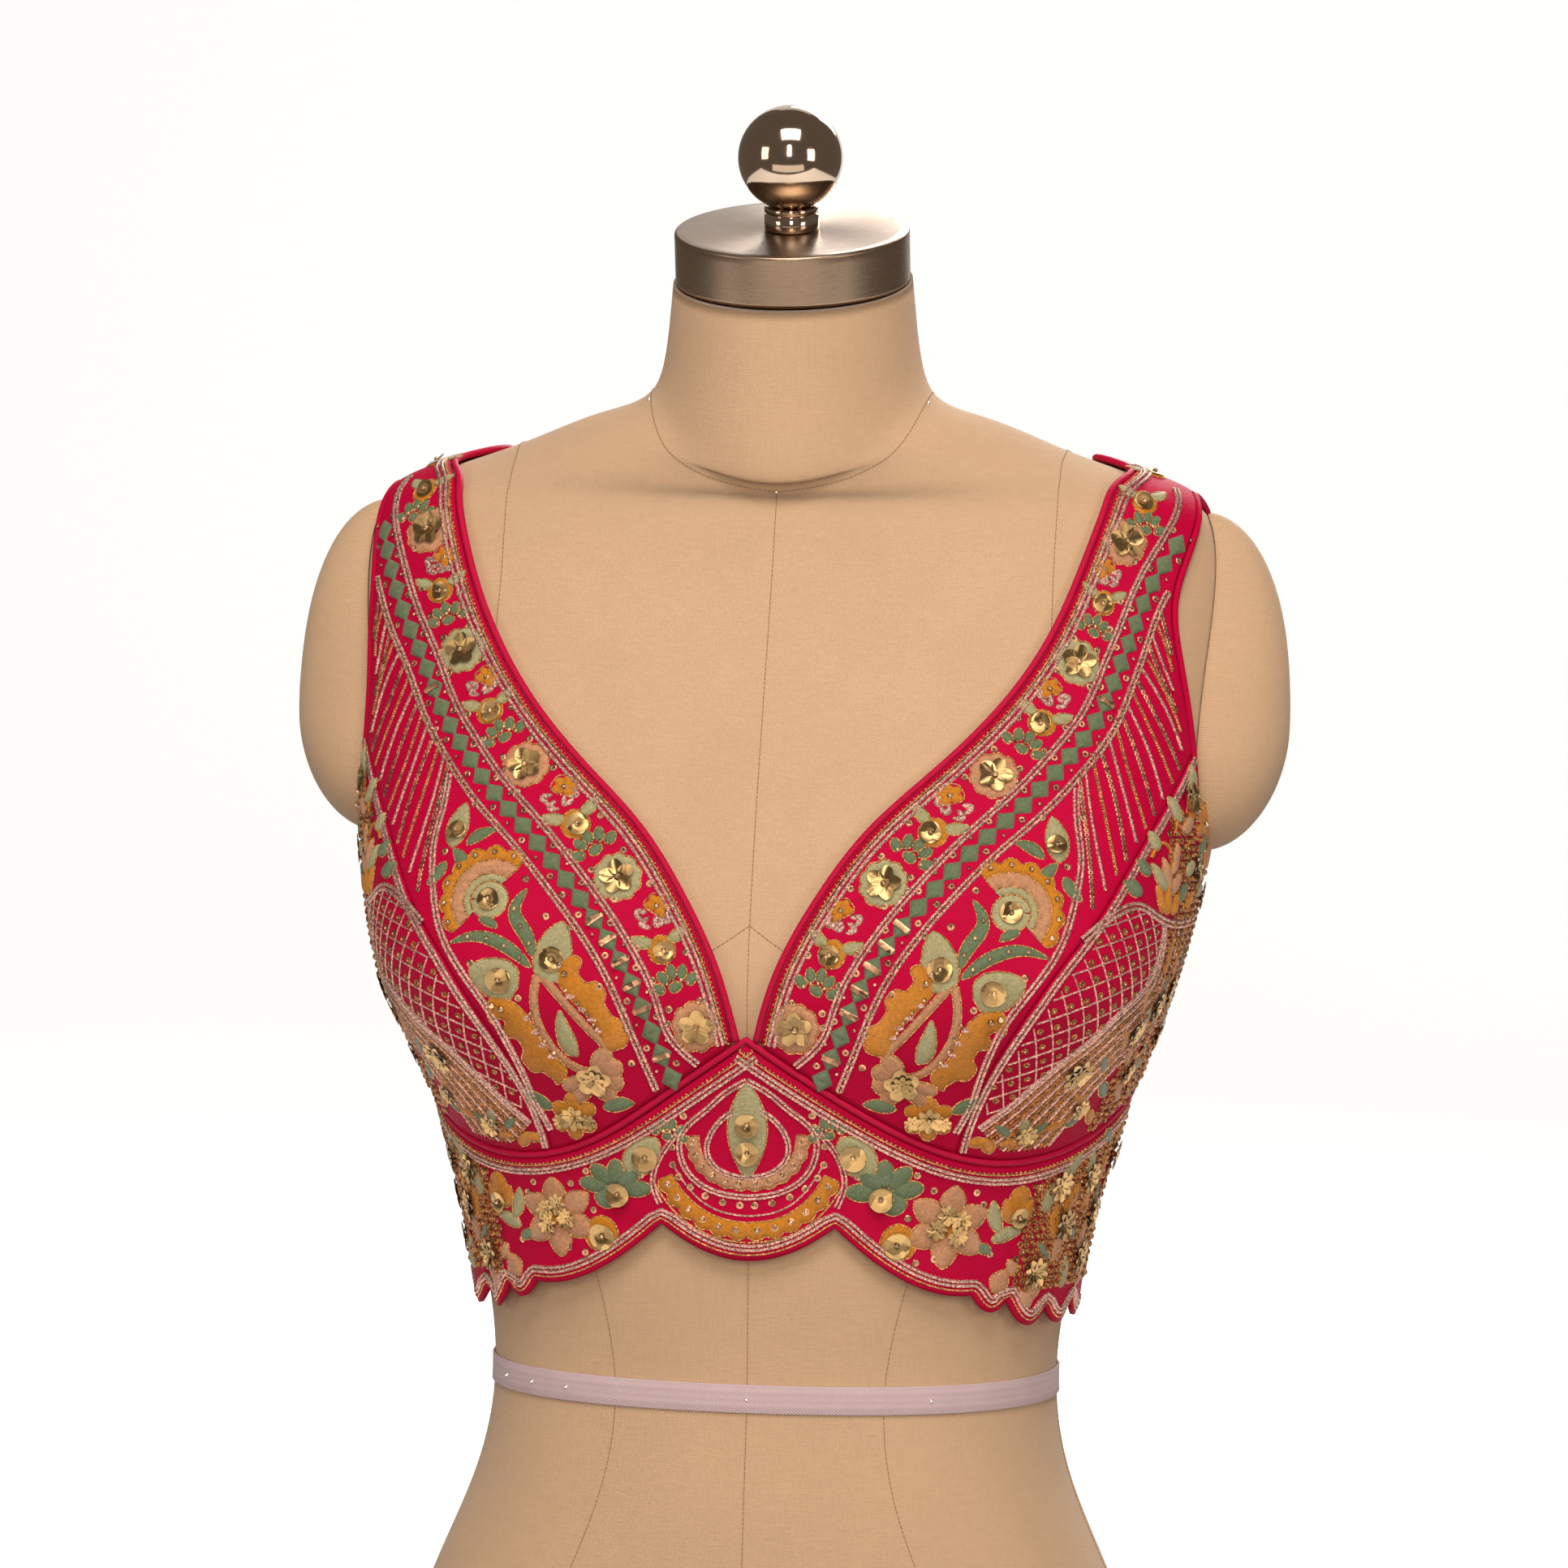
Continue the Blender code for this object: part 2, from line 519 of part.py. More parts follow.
def build_shoulder_cap(name, side):
    """A low dome that ends the arm: its back follows the torso, and its front swells out of an egg shape,
    fullest below its middle."""
    rings, spokes = 7, 24
    reach = np.sin(np.linspace(0, math.pi / 2, rings))[1:, None]
    turn = np.linspace(0, 2 * math.pi, spokes, endpoint=False)[None]
    upward = np.sin(turn)
    middle = SHOULDER_CAP_MIDDLE
    half = np.where(upward > 0, SHOULDER_CAP_HIGH - middle, middle - SHOULDER_CAP_LOW)
    angle = SHOULDER_CAP_ANGLE + SHOULDER_CAP_HALF_ANGLE * reach * np.cos(turn)
    rise = middle + half * reach * upward
    chart = np.concatenate([[[SHOULDER_CAP_ANGLE, middle]], np.stack([angle, rise], -1).reshape(-1, 2)])
    power = 2 - SHOULDER_CAP_TAPER * np.maximum(upward, 0)
    swell = np.concatenate([[1], np.sqrt(np.maximum(1 - reach**power, 0)).ravel()])
    back = place(chart * (side, 1), SHOULDER_CAP_GAP)
    front = place(chart * (side, 1), SHOULDER_CAP_GAP + SHOULDER_CAP_EDGE)
    front[:, 0] += side * (SHOULDER_CAP_OUT - SHOULDER_CAP_EDGE) * swell * MM
    count = len(chart)
    faces = []
    for first in (0, count):
        faces += [[first, first + 1 + s, first + 1 + (s + 1) % spokes] for s in range(spokes)]
        faces += grid_faces(rings - 1, spokes, first + 1, True)
    rim = [count - spokes + s for s in range(spokes)]
    faces += [[a, b, b + count, a + count] for a, b in zip(rim, rim[1:] + rim[:1])]
    finish(closed_mesh(name, np.concatenate([front, back]), faces), LINEN, 0.85)


def turned(name, profile, origin, colour, steps, roughness, metallic):
    """A piece turned about the neck cap's tilted axis. The profile's rows are radius and height."""
    points, rings = [], []
    cosine, sine = math.cos(math.radians(CAP_TILT)), math.sin(math.radians(CAP_TILT))
    for radius, height in profile:
        rings.append(len(points))
        for turn in np.linspace(0, 2 * math.pi, steps, endpoint=False) if radius else (0,):
            x, y = radius * math.cos(turn), radius * math.sin(turn)
            points.append((x, y * cosine - height * sine, y * sine + height * cosine))
    faces = []
    for low, high, lower, upper in zip(rings, rings[1:], profile, profile[1:]):
        for s in range(steps):
            n = (s + 1) % steps
            below = [low + s, low + n] if lower[0] else [low]
            above = [high + n, high + s] if upper[0] else [high]
            faces.append(below + above)
    if profile[0][0]:
        faces.append(list(range(steps)))
    if profile[-1][0]:
        faces.append(list(range(rings[-1], rings[-1] + steps)))
    points = (np.array(points) + origin) * MM
    return finish(closed_mesh(name, points, faces), colour, roughness, metallic)


def build_neck_cap():
    """The steel cap that closes the neck, its collar and its ball finial."""
    height, _, _, _, centre_y, _, _, _, _ = SECTIONS[-1]
    tilt = math.radians(CAP_TILT)
    axis = np.array([0, -math.sin(tilt), math.cos(tilt)])
    start = np.array([0, centre_y, height]) + axis * FORM_GAP
    cap = (
        (CAP_RADIUS - CAP_FOOT_BEVEL, 0),
        (CAP_RADIUS, CAP_FOOT_BEVEL),
        (CAP_RADIUS, CAP_HEIGHT - CAP_BEVEL),
        (CAP_RADIUS - CAP_BEVEL_MIDDLE, CAP_HEIGHT - CAP_BEVEL_MIDDLE),
        (CAP_RADIUS - CAP_BEVEL, CAP_HEIGHT),
    )
    turned("form_neck_cap", cap, start, STEEL, 48, 0.3, 1.0)
    collar = ((COLLAR_RADIUS, 0), (COLLAR_RADIUS, COLLAR_HEIGHT))
    start = start + axis * (CAP_HEIGHT + SEAM_GAP)
    turned("form_cap_collar", collar, start, STEEL, 32, 0.3, 1.0)
    start = start + axis * (COLLAR_HEIGHT + SEAM_GAP)
    seat = math.asin(COLLAR_RADIUS * BALL_SEAT / BALL_RADIUS)
    bands = np.linspace(seat, math.pi, 12)[:-1]
    ball = [(BALL_RADIUS * math.sin(t), BALL_RADIUS * (math.cos(seat) - math.cos(t))) for t in bands]
    ball.append((0, BALL_RADIUS * (math.cos(seat) + 1)))
    turned("form_finial", ball, start, STEEL, 20, 0.2, 1.0)


clear_scene()
build_cup_fronts()
build_cup_sides()
build_band_front()
build_backs()
build_pipings()
build_back_closing()
build_form()
build_neck_cap()
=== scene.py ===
import math

import bpy
import numpy as np
from mathutils import Matrix


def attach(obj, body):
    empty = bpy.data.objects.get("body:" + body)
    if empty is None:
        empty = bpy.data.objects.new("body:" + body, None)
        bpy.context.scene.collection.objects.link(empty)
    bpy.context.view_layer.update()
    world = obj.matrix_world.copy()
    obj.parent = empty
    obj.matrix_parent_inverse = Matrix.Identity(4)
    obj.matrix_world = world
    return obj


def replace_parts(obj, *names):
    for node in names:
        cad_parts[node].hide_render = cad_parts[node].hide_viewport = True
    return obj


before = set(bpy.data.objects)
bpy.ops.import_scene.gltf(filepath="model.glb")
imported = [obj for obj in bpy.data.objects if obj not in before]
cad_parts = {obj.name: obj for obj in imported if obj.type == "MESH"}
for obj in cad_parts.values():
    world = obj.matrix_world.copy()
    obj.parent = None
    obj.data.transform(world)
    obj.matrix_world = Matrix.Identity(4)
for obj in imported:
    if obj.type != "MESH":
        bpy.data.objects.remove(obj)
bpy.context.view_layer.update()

MM = 0.001
HALVES = ((1, "right"), (-1, "left"))


# The dress form's torso. It is papier mache under beige linen that is cut in panels, and it is stacked here
# from cross sections. Every place on it has an angle round the body, 0 at the centre front and positive to
# the picture's right, and a rise up the side line from the waist in millimetres.
WAIST_ROW = 5
# The columns are height, half_width, front, back, centre_y, square, front_drop, back_rise and planar.
SECTIONS = (
    (12, 160, 102, 112, 4, 0.10, 0, 0, 0),
    (50, 169, 108, 121, 4, 0.10, 0, 0, 0),
    (95, 164, 107, 118, 3, 0.10, 0, 0, 0),
    (150, 146, 101, 104, 2, 0.10, 0, 0, 0),
    (195, 128, 95, 93, 0, 0.09, 0, 0, 0),
    (235, 122, 91, 88, 0, 0.08, 0, 0, 0),
    (280, 127, 93, 89, 0, 0.08, 0, 0, 0),
    (330, 138.5, 97, 93, 1, 0.08, 0, 0, 0),
    (385, 156, 100, 100, 3, 0.10, 0, 0, 0),
    (440, 172, 97, 106, 5, 0.11, 0, 0, 0),
    (495, 182, 92, 107, 8, 0.12, 0, 0, 0),
    (545, 187, 80, 101, 11, 0.11, 0, 0, 0),
    (583, 187, 69, 90, 13, 0.09, 2, 0, 0),
    (609, 178, 62, 80, 13, 0.07, 5, 0, 0),
    (623, 153, 58, 74, 12, 0.05, 11, 2, 0),
    (635.5, 117, 56.5, 68, 9, 0.03, 20, 4, 0),
    (649, 82, 56, 62, 5, 0, 29, 6, 0),
    (659, 60.5, 56, 56, 1, 0, 36, 10, 0.1),
    (672, 55.5, 55, 54, -1, 0, 29, 14, 0.5),
    (690, 53, 53.5, 53, -3, 0, 20, 16, 0.9),
    (706, 51.5, 51.5, 51.5, -5, 0, 16, 16, 1),
)
BUST_ANGLE, BUST_RISE, BUST_OUT, BUST_AIM = 39, 185, 37, 30
BUST_HALF_ANGLE, BUST_ABOVE, BUST_BELOW = 33, 75, 50


def natural_spline(knots, rows):
    """A natural cubic spline through the rows, one at each knot."""
    knots, rows = np.asarray(knots, float), np.asarray(rows, float)
    count, step = len(knots), np.diff(knots)
    matrix, right = np.eye(count), np.zeros_like(rows)
    for i in range(1, count - 1):
        matrix[i, i - 1 : i + 2] = step[i - 1], 2 * (step[i - 1] + step[i]), step[i]
        right[i] = 6 * ((rows[i + 1] - rows[i]) / step[i] - (rows[i] - rows[i - 1]) / step[i - 1])
    bend = np.linalg.solve(matrix, right)

    def at(where):
        where = np.asarray(where, float)
        i = np.clip(np.searchsorted(knots, where) - 1, 0, count - 2)
        past, width = (where - knots[i])[..., None], step[i][..., None]
        left = width - past
        return (
            (bend[i] * left**3 + bend[i + 1] * past**3) / (6 * width)
            + (rows[i + 1] / width - bend[i + 1] * width / 6) * past
            + (rows[i] / width - bend[i] * width / 6) * left
        )

    return at


def distance_along(points):
    """How far along a line each of its points lies, from 0."""
    return np.concatenate([[0], np.cumsum(np.linalg.norm(np.diff(points, axis=0), axis=-1))])


def direction(vectors):
    """The vectors at a length of one."""
    return vectors / np.linalg.norm(vectors, axis=-1, keepdims=True)


UP_THE_SIDE = distance_along(np.array([row[:2] for row in SECTIONS], float))
RISES = UP_THE_SIDE - UP_THE_SIDE[WAIST_ROW]
section_at = natural_spline(RISES, SECTIONS)


def skin(chart):
    """The form's surface in millimetres at chart places, the last axis being angle and rise."""
    angle, rise = chart[..., 0], chart[..., 1]
    section = np.moveaxis(section_at(rise), -1, 0)
    height, half_width, front, back, centre_y, square, drop, lift, planar = section
    sine, cosine = np.sin(np.radians(angle)), np.cos(np.radians(angle))
    depth = np.where(cosine > 0, front, back)
    tilt = planar * np.abs(cosine) + (1 - planar) * cosine**2
    x = half_width * sine * (1 + square * cosine**2)
    y = centre_y - depth * cosine * (1 + square * sine**2)
    z = height - np.where(cosine > 0, drop, -lift) * tilt
    aim = math.radians(BUST_AIM)
    for side in (-1, 1):
        off_angle = ((side * angle - BUST_ANGLE + 180) % 360 - 180) / BUST_HALF_ANGLE
        off_rise = (rise - BUST_RISE) / np.where(rise > BUST_RISE, BUST_ABOVE, BUST_BELOW)
        out = BUST_OUT * np.exp(-(off_angle**2) - off_rise**2)
        x = x + side * out * math.sin(aim)
        y = y - out * math.cos(aim)
    return np.stack([x, y, z], -1)


def bearings(chart):
    """The directions round, up and out of the surface, and the millimetres round, askew and up that a degree
    and a unit of rise are worth."""
    step = 0.25
    east = (skin(chart + (step, 0)) - skin(chart - (step, 0))) / (2 * step)
    north = (skin(chart + (0, step)) - skin(chart - (0, step))) / (2 * step)
    out = direction(np.cross(east, north))
    degree = np.linalg.norm(east, axis=-1)
    round_way = east / degree[..., None]
    up_way = np.cross(out, round_way)
    askew, unit = (north * round_way).sum(-1), (north * up_way).sum(-1)
    return round_way, up_way, out, degree, askew, unit


def place(chart, off):
    """Points in metres over chart places, at an offset from the form in millimetres."""
    off = np.broadcast_to(np.asarray(off, float), chart.shape[:-1])
    return (skin(chart) + bearings(chart)[2] * off[..., None]) * MM


def grid_of(angles, rises):
    return np.stack(np.meshgrid(angles, rises), -1)


def map_of(points, rises, start=0):
    """A map in millimetres over a grid of points: how far along its row from a column, and the rise."""
    along = np.cumsum(np.linalg.norm(np.diff(points, axis=1), axis=-1) / MM, axis=1)
    along = np.concatenate([np.zeros((len(points), 1)), along], axis=1)
    return np.stack([along - along[:, start : start + 1], rises], -1).reshape(-1, 2)


def quads(rows, columns, wrap=False):
    """Faces between the points of a grid, which may join up round its columns."""
    first = np.arange(rows - 1)[:, None] * columns + np.arange(columns if wrap else columns - 1)[None]
    after = first + 1 if not wrap else first - first % columns + (first % columns + 1) % columns
    return np.stack([first, after, after + columns, first + columns], -1).reshape(-1, 4)


def made(name, points, faces, look, map_mm=None):
    """A piece from points in metres and arrays of faces, with a map in millimetres, on the one body."""
    mesh = bpy.data.meshes.new(name)
    points = np.asarray(points, np.float32).reshape(-1, 3)
    loops = np.concatenate([block.ravel() for block in faces])
    sizes = np.concatenate([np.full(len(block), block.shape[1]) for block in faces])
    mesh.vertices.add(len(points))
    mesh.vertices.foreach_set("co", points.ravel())
    mesh.loops.add(len(loops))
    mesh.loops.foreach_set("vertex_index", loops.astype(np.int32))
    mesh.polygons.add(len(sizes))
    mesh.polygons.foreach_set("loop_start", np.concatenate([[0], np.cumsum(sizes)[:-1]]).astype(np.int32))
    if map_mm is not None:
        layer = mesh.uv_layers.new(name="thread")
        layer.data.foreach_set("uv", np.asarray(map_mm, np.float32)[loops].ravel())
    mesh.update(calc_edges=True)
    mesh.validate()
    mesh.shade_smooth()
    mesh.materials.append(look.material)
    piece = bpy.data.objects.new(name, mesh)
    bpy.context.scene.collection.objects.link(piece)
    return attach(piece, "root")


def dyed(red, green, blue):
    """A colour as it is read off a photograph, 0 to 255, turned into linear light."""
    share = np.array([red, green, blue]) / 255
    return tuple(np.where(share < 0.04045, share / 12.92, ((share + 0.055) / 1.055) ** 2.4))


class Value:
    """A number or colour that varies over a surface. Sums with it add Math nodes."""

    def __init__(self, look, socket):
        self.look, self.socket = look, socket

    def math(self, operation, *terms):
        return self.look.node("ShaderNodeMath", {"operation": operation}, *terms)

    def __add__(self, other):
        return self.math("ADD", self, other)

    def __sub__(self, other):
        return self.math("SUBTRACT", self, other)

    def __rsub__(self, other):
        return self.math("SUBTRACT", other, self)

    def __mul__(self, other):
        return self.math("MULTIPLY", self, other)

    def __pow__(self, other):
        return self.math("POWER", self, other)

    def sine(self):
        return self.math("SINE", self)

    def waves(self, each):
        """Waves from 0 to 1 that lie so many millimetres apart."""
        return (self * (2 * math.pi / each)).sine() * 0.5 + 0.5

    def __getitem__(self, name):
        return Value(self.look, self.socket.node.outputs[name])

    __radd__, __rmul__ = __add__, __mul__


class Look:
    """A finish, as a Principled material. Fixed settings go straight on the shader's sockets."""

    def __init__(self, name, colour, fixed):
        self.material = bpy.data.materials.new(name)
        self.material.use_nodes = True
        self.shader = self.material.node_tree.nodes["Principled BSDF"]
        self.colour = colour
        for socket, value in {"Base Color": (*colour, 1), **fixed}.items():
            self.shader.inputs[socket].default_value = value

    def node(self, kind, settings, *values, **named):
        """Any node: its type, its settings, which are set first, and the values or links of its sockets."""
        node = self.material.node_tree.nodes.new(kind)
        for name, value in settings.items():
            setattr(node, name, value)
        sockets = [s for s in node.inputs if s.enabled]
        for socket, value in [*zip(sockets, values), *((node.inputs[n], v) for n, v in named.items())]:
            self.join(value, socket)
        return Value(self, next(s for s in node.outputs if s.enabled))

    def join(self, value, socket):
        if isinstance(value, Value):
            self.material.node_tree.links.new(value.socket, socket)
        else:
            socket.default_value = (*value, 1) if socket.type == "RGBA" and len(value) == 3 else value

    def spot(self, *stretch):
        """The place on the object in millimetres, which may be stretched along x, y and z."""
        where = self.node("ShaderNodeTexCoord", {})["Object"]
        by = tuple(1 / (MM * s) for s in stretch or (1, 1, 1))
        return self.node("ShaderNodeVectorMath", {"operation": "MULTIPLY"}, where, by)

    def noise(self, size, detail=2, where=None):
        """Cloudy noise from 0 to 1 whose blobs are about size millimetres wide."""
        return self.node("ShaderNodeTexNoise", {}, where or self.spot(), Scale=1 / size, Detail=detail)

    def thread_map(self):
        """Millimetres along the piece's own map, as two values."""
        where = self.node("ShaderNodeUVMap", {"uv_map": "thread"})
        split = self.node("ShaderNodeSeparateXYZ", {}, where)
        return split["X"], split["Y"]

    def tint(self, share, darker, lighter):
        """The finish's own colour, from one strength to another as share goes from 0 to 1."""
        colours = [tuple(min(1, c * s) for c in self.colour) for s in (darker, lighter)]
        mixed = self.node("ShaderNodeMix", {"data_type": "RGBA"})
        for socket, value in zip([s for s in mixed.socket.node.inputs if s.enabled], (share, *colours)):
            self.join(value, socket)
        return Value(self, next(s for s in mixed.socket.node.outputs if s.enabled))

    def wear(self, colour=None, roughness=None, relief=None, depth=0.1):
        """Joins what varies: the colour, the roughness, and a relief of the given depth in millimetres."""
        for value, socket in ((colour, "Base Color"), (roughness, "Roughness")):
            if value is not None:
                self.join(value, self.shader.inputs[socket])
        if relief is not None:
            bump = self.node("ShaderNodeBump", {}, Strength=1.0, Distance=depth * MM, Height=relief)
            self.join(bump, self.shader.inputs["Normal"])
        return self


def weave(look, thread):
    """Warp over weft, with the space between threads in millimetres, along the piece's map."""
    around, up = look.thread_map()
    turn = 2 * math.pi / thread
    return (around * turn).sine() * (up * turn).sine() * 0.5 + 0.5


LINEN = dyed(206, 168, 130)
THREAD_LINEN = 0.85
linen = Look("linen", LINEN, {"Roughness": 0.85, "Sheen Weight": 0.15, "Sheen Roughness": 0.5})
slubs = linen.noise(1.0, 3, linen.spot(7, 7, 0.7)) * 0.5 + linen.noise(1.0, 3, linen.spot(0.8, 0.8, 8)) * 0.5
cloud = linen.noise(60, 2)
linen.wear(
    colour=linen.tint(slubs * 0.7 + weave(linen, THREAD_LINEN) * 0.25 + cloud * 0.3, 0.72, 1.2),
    relief=weave(linen, THREAD_LINEN) * 0.5 + slubs,
    depth=0.22,
)
brown_thread = Look("brown_thread", dyed(150, 112, 76), {"Roughness": 0.8})

FORM_COLUMNS, FORM_ROWS = 216, 220
form_rises = np.sort(np.concatenate([np.linspace(RISES[0], RISES[-1], FORM_ROWS), RISES[1:-1]]))
form_chart = grid_of(np.linspace(-180, 180, FORM_COLUMNS + 1), form_rises)
form_points = place(form_chart, 0)
form_map = map_of(form_points, form_chart[..., 1], FORM_COLUMNS // 2)
wide = FORM_COLUMNS + 1
ends = [np.arange(wide - 1)[None], np.arange(len(form_map) - wide, len(form_map) - 1)[None, ::-1]]
torso = made("torso", form_points, [quads(len(form_rises), wide), *ends], linen, form_map)
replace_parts(torso, "form_torso")


# The form's seams: brown machine stitches that join the linen panels at the centre front, at the princess
# lines front and back, over the shoulders and round the neck, and the inverted Y under the bust.
STITCH, STITCH_GAP, STITCH_RADIUS = 1.6, 0.5, 0.2
STITCH_SECTION = ((-1, -1), (-0.6, 1), (0.6, 1), (1, -1))
CENTRE_SEAMS = [[(0, 440), (0, 206), (0, 60), (0, RISES[0])], [(180, 470), (180, 200), (180, RISES[0])]]
PRINCESS_FORM = [
    (90, 449), (68.6, 440), (53.2, 420), (44.2, 400), (39, 380), (36.8, 360), (36, 330),
    (37, 250), (38, 150), (30, 60), (26, 0), (32, -120), (34, RISES[0]),
]
BACK_FORM = [
    (90, 449), (112, 438), (127, 415), (136, 385), (140, 330),
    (143, 200), (152, 60), (154, 0), (148, -120), (146, RISES[0]),
]
SIDE_FORM = [(93, 236), (92, 120), (90, 0), (91, -120), (92, RISES[0])]
NECK_FORM = [(0, 446), (14, 464), (33, 488), (50, 500), (70, 508), (90, 511), (130, 506), (180, 498)]
UNDER_FORM = [(0, 206), (4, 195), (9, 184), (20, 165), (34, 150)]


def resampled(chart, step):
    """A line's places about every step millimetres, and how far along each one lies."""
    along = distance_along(skin(chart))
    count = max(3, int(round(along[-1] / step)) + 1)
    at = np.linspace(0, along[-1], count)
    return np.stack([np.interp(at, along, chart[:, i]) for i in (0, 1)], -1), at


# About the millimetres that a degree and a unit of rise are worth.
CHART_MM = (2.4, 1)


def smooth(rows, count=200):
    """A smooth line through chart places."""
    rows = np.array(rows, float)
    knots = distance_along(rows * CHART_MM)
    return natural_spline(knots, rows)(np.linspace(0, knots[-1], count))


def mirrored(rows):
    return [[(side * angle, rise) for angle, rise in rows] for side in (1, -1)]


def stitched(name, lines, off):
    """Short stitches along lines on the form, as low four-sided bars."""
    points, faces = [], []
    for rows in lines:
        line, at = resampled(smooth(rows), 0.5)
        for start in np.arange(0, at[-1] - STITCH, STITCH + STITCH_GAP):
            ends = np.stack([np.interp([start, start + STITCH], at, line[:, i]) for i in (0, 1)], -1)
            out = bearings(ends)[2]
            at_mm = skin(ends) + out * off
            aside = np.cross(direction(at_mm[1] - at_mm[0]), out[0]) * STITCH_RADIUS
            faces.append(quads(2, 4) + len(points))
            points += [p + s * aside + h * out[0] * STITCH_RADIUS for p in at_mm for s, h in STITCH_SECTION]
    made(name, np.array(points) * MM, faces, brown_thread)


seams = CENTRE_SEAMS + mirrored(PRINCESS_FORM) + mirrored(BACK_FORM) + mirrored(SIDE_FORM)
stitched("form_seams", seams + mirrored(NECK_FORM) + mirrored(UNDER_FORM), 0.05)


# The shoulder caps: low linen-covered domes that end the arms, each seamed on round its rim.
CAP_OUT, CAP_EDGE, CAP_GAP = 31, 1.2, 0.7
CAP_ANGLE, CAP_HALF_ANGLE, CAP_LOW, CAP_MIDDLE, CAP_HIGH, CAP_TAPER = 90, 18, 237, 285, 382, 0.6
CAP_RINGS, CAP_SPOKES = 30, 96
for side, word in HALVES:
    reach = np.sin(np.linspace(0.0, math.pi / 2, CAP_RINGS))[:, None]
    turn = np.linspace(0, 2 * math.pi, CAP_SPOKES + 1)[None]
    upward = np.sin(turn)
    angle = CAP_ANGLE + CAP_HALF_ANGLE * reach * np.cos(turn)
    rise = CAP_MIDDLE + np.where(upward > 0, CAP_HIGH - CAP_MIDDLE, CAP_MIDDLE - CAP_LOW) * reach * upward
    chart = np.stack([angle * side, rise], -1)
    swell = np.sqrt(np.maximum(1 - reach ** (2 - CAP_TAPER * np.maximum(upward, 0)), 0))
    dome = place(chart, CAP_GAP + CAP_EDGE)
    dome[..., 0] += side * (CAP_OUT - CAP_EDGE) * swell * MM
    rim = place(chart[-1:], CAP_GAP)
    points = np.concatenate([dome, rim]).reshape(-1, 3)
    faces = [quads(CAP_RINGS + 1, CAP_SPOKES + 1)[:, ::side]]
    cap = made(f"shoulder_cap_{word}", points, faces, linen, points[:, 1:] / MM)
    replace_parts(cap, f"form_shoulder_{word}")


# The waist tape: lilac pink cotton twill, 12 mm wide, held round the waist with dressmaker's pins.
TAPE_WIDE, TAPE_THICK, FORM_GAP, TAPE_PLACES, MM_A_DEGREE = 12, 0.9, 0.3, 241, 1.9
# The columns are rise and how far the tape's section stands off there.
TAPE_SECTION = ((-6, 0), (-6, 0.6), (-5.6, 0.9), (-2, 0.9), (2, 0.9), (5.6, 0.9), (6, 0.6), (6, 0))
TWILL_EACH, ROW_EACH = 1.3, 3.0
PIN_ANGLES, PIN_RADIUS = (-61, -49, -38, 0, 36, 118, 180, -120), 0.9
NECK_PINS = ((0, 446), (74, 508), (-74, 508))
cotton = Look("cotton_tape", dyed(205, 176, 178), {"Roughness": 0.75, "Sheen Weight": 0.2})
around, up = cotton.thread_map()
twill = (around + up * 1.0).waves(TWILL_EACH)
shade = twill * 0.5 + up.waves(ROW_EACH) * 0.3 + cotton.noise(9) * 0.4
cotton.wear(cotton.tint(shade, 0.82, 1.12), relief=twill, depth=0.12)
tape_rise, tape_off = np.array(TAPE_SECTION, float).T
tape_chart = grid_of(np.linspace(-180, 180, TAPE_PLACES), tape_rise)
tape_points = place(tape_chart, tape_off[:, None] + FORM_GAP)
tape_map = (tape_chart * (MM_A_DEGREE, 1)).reshape(-1, 2)
tape = made("waist_tape", tape_points, [quads(len(tape_rise), TAPE_PLACES)], cotton, tape_map)
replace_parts(tape, "form_waist_tape")


def revolved(profile, steps):
    """An open shape turned about z. The profile's rows are radius and height."""
    turn = np.linspace(0, 2 * math.pi, steps, endpoint=False)
    rows = np.array(profile, float)
    ring = np.stack([np.cos(turn), np.sin(turn)], -1)
    points = np.concatenate([rows[:, None, :1] * ring[None], np.repeat(rows[:, None, 1:], steps, 1)], -1)
    return points.reshape(-1, 3), quads(len(rows), steps, True)


steel_pin = Look("steel_pin", (0.75, 0.72, 0.68), {"Metallic": 1.0, "Roughness": 0.25})
head = [(PIN_RADIUS, 0), (PIN_RADIUS * 0.9, 0.5), (PIN_RADIUS * 0.5, 0.9), (0.02, 1.0)]
head, head_faces = revolved(head, 12)
pins, pin_faces = [], []
for angle, rise, off in [(a, 0, FORM_GAP + TAPE_THICK) for a in PIN_ANGLES] + [(*at, 0) for at in NECK_PINS]:
    at = np.array([float(angle), float(rise)])
    round_way, up_way, out = bearings(at)[:3]
    pin_faces.append(head_faces + len(pins) * len(head))
    pins.append(skin(at) + out * off + head @ np.stack([round_way, up_way, out]))
made("pins", np.concatenate(pins) * MM, pin_faces, steel_pin)


# The neck cap, its collar and its ball: turned steel. The cap's wall is brushed round and its top in rings,
# and the ball is polished.
CAP_TILT, CAP_RADIUS, CAP_HEIGHT, CAP_BEVEL = 17, 50.5, 22.5, 1.4
COLLAR_RADIUS, COLLAR_HEIGHT, GROOVE_RADIUS, BALL_RADIUS, SEAM_GAP = 11.75, 10, 10.6, 22.5, 0.3
steel = Look("brushed_steel", (0.33, 0.235, 0.16), {"Metallic": 1.0, "Roughness": 0.28, "Anisotropic": 0.75})
fine = steel.noise(0.35, 2, steel.spot(40, 40, 0.5))
steel.wear(steel.tint(fine, 0.85, 1.1), roughness=fine * 0.16 + 0.2, relief=fine, depth=0.02)
polished = Look("polished_steel", (0.5, 0.38, 0.28), {"Metallic": 1.0, "Roughness": 0.09})
polished.wear(roughness=polished.noise(4) * 0.1 + 0.04)


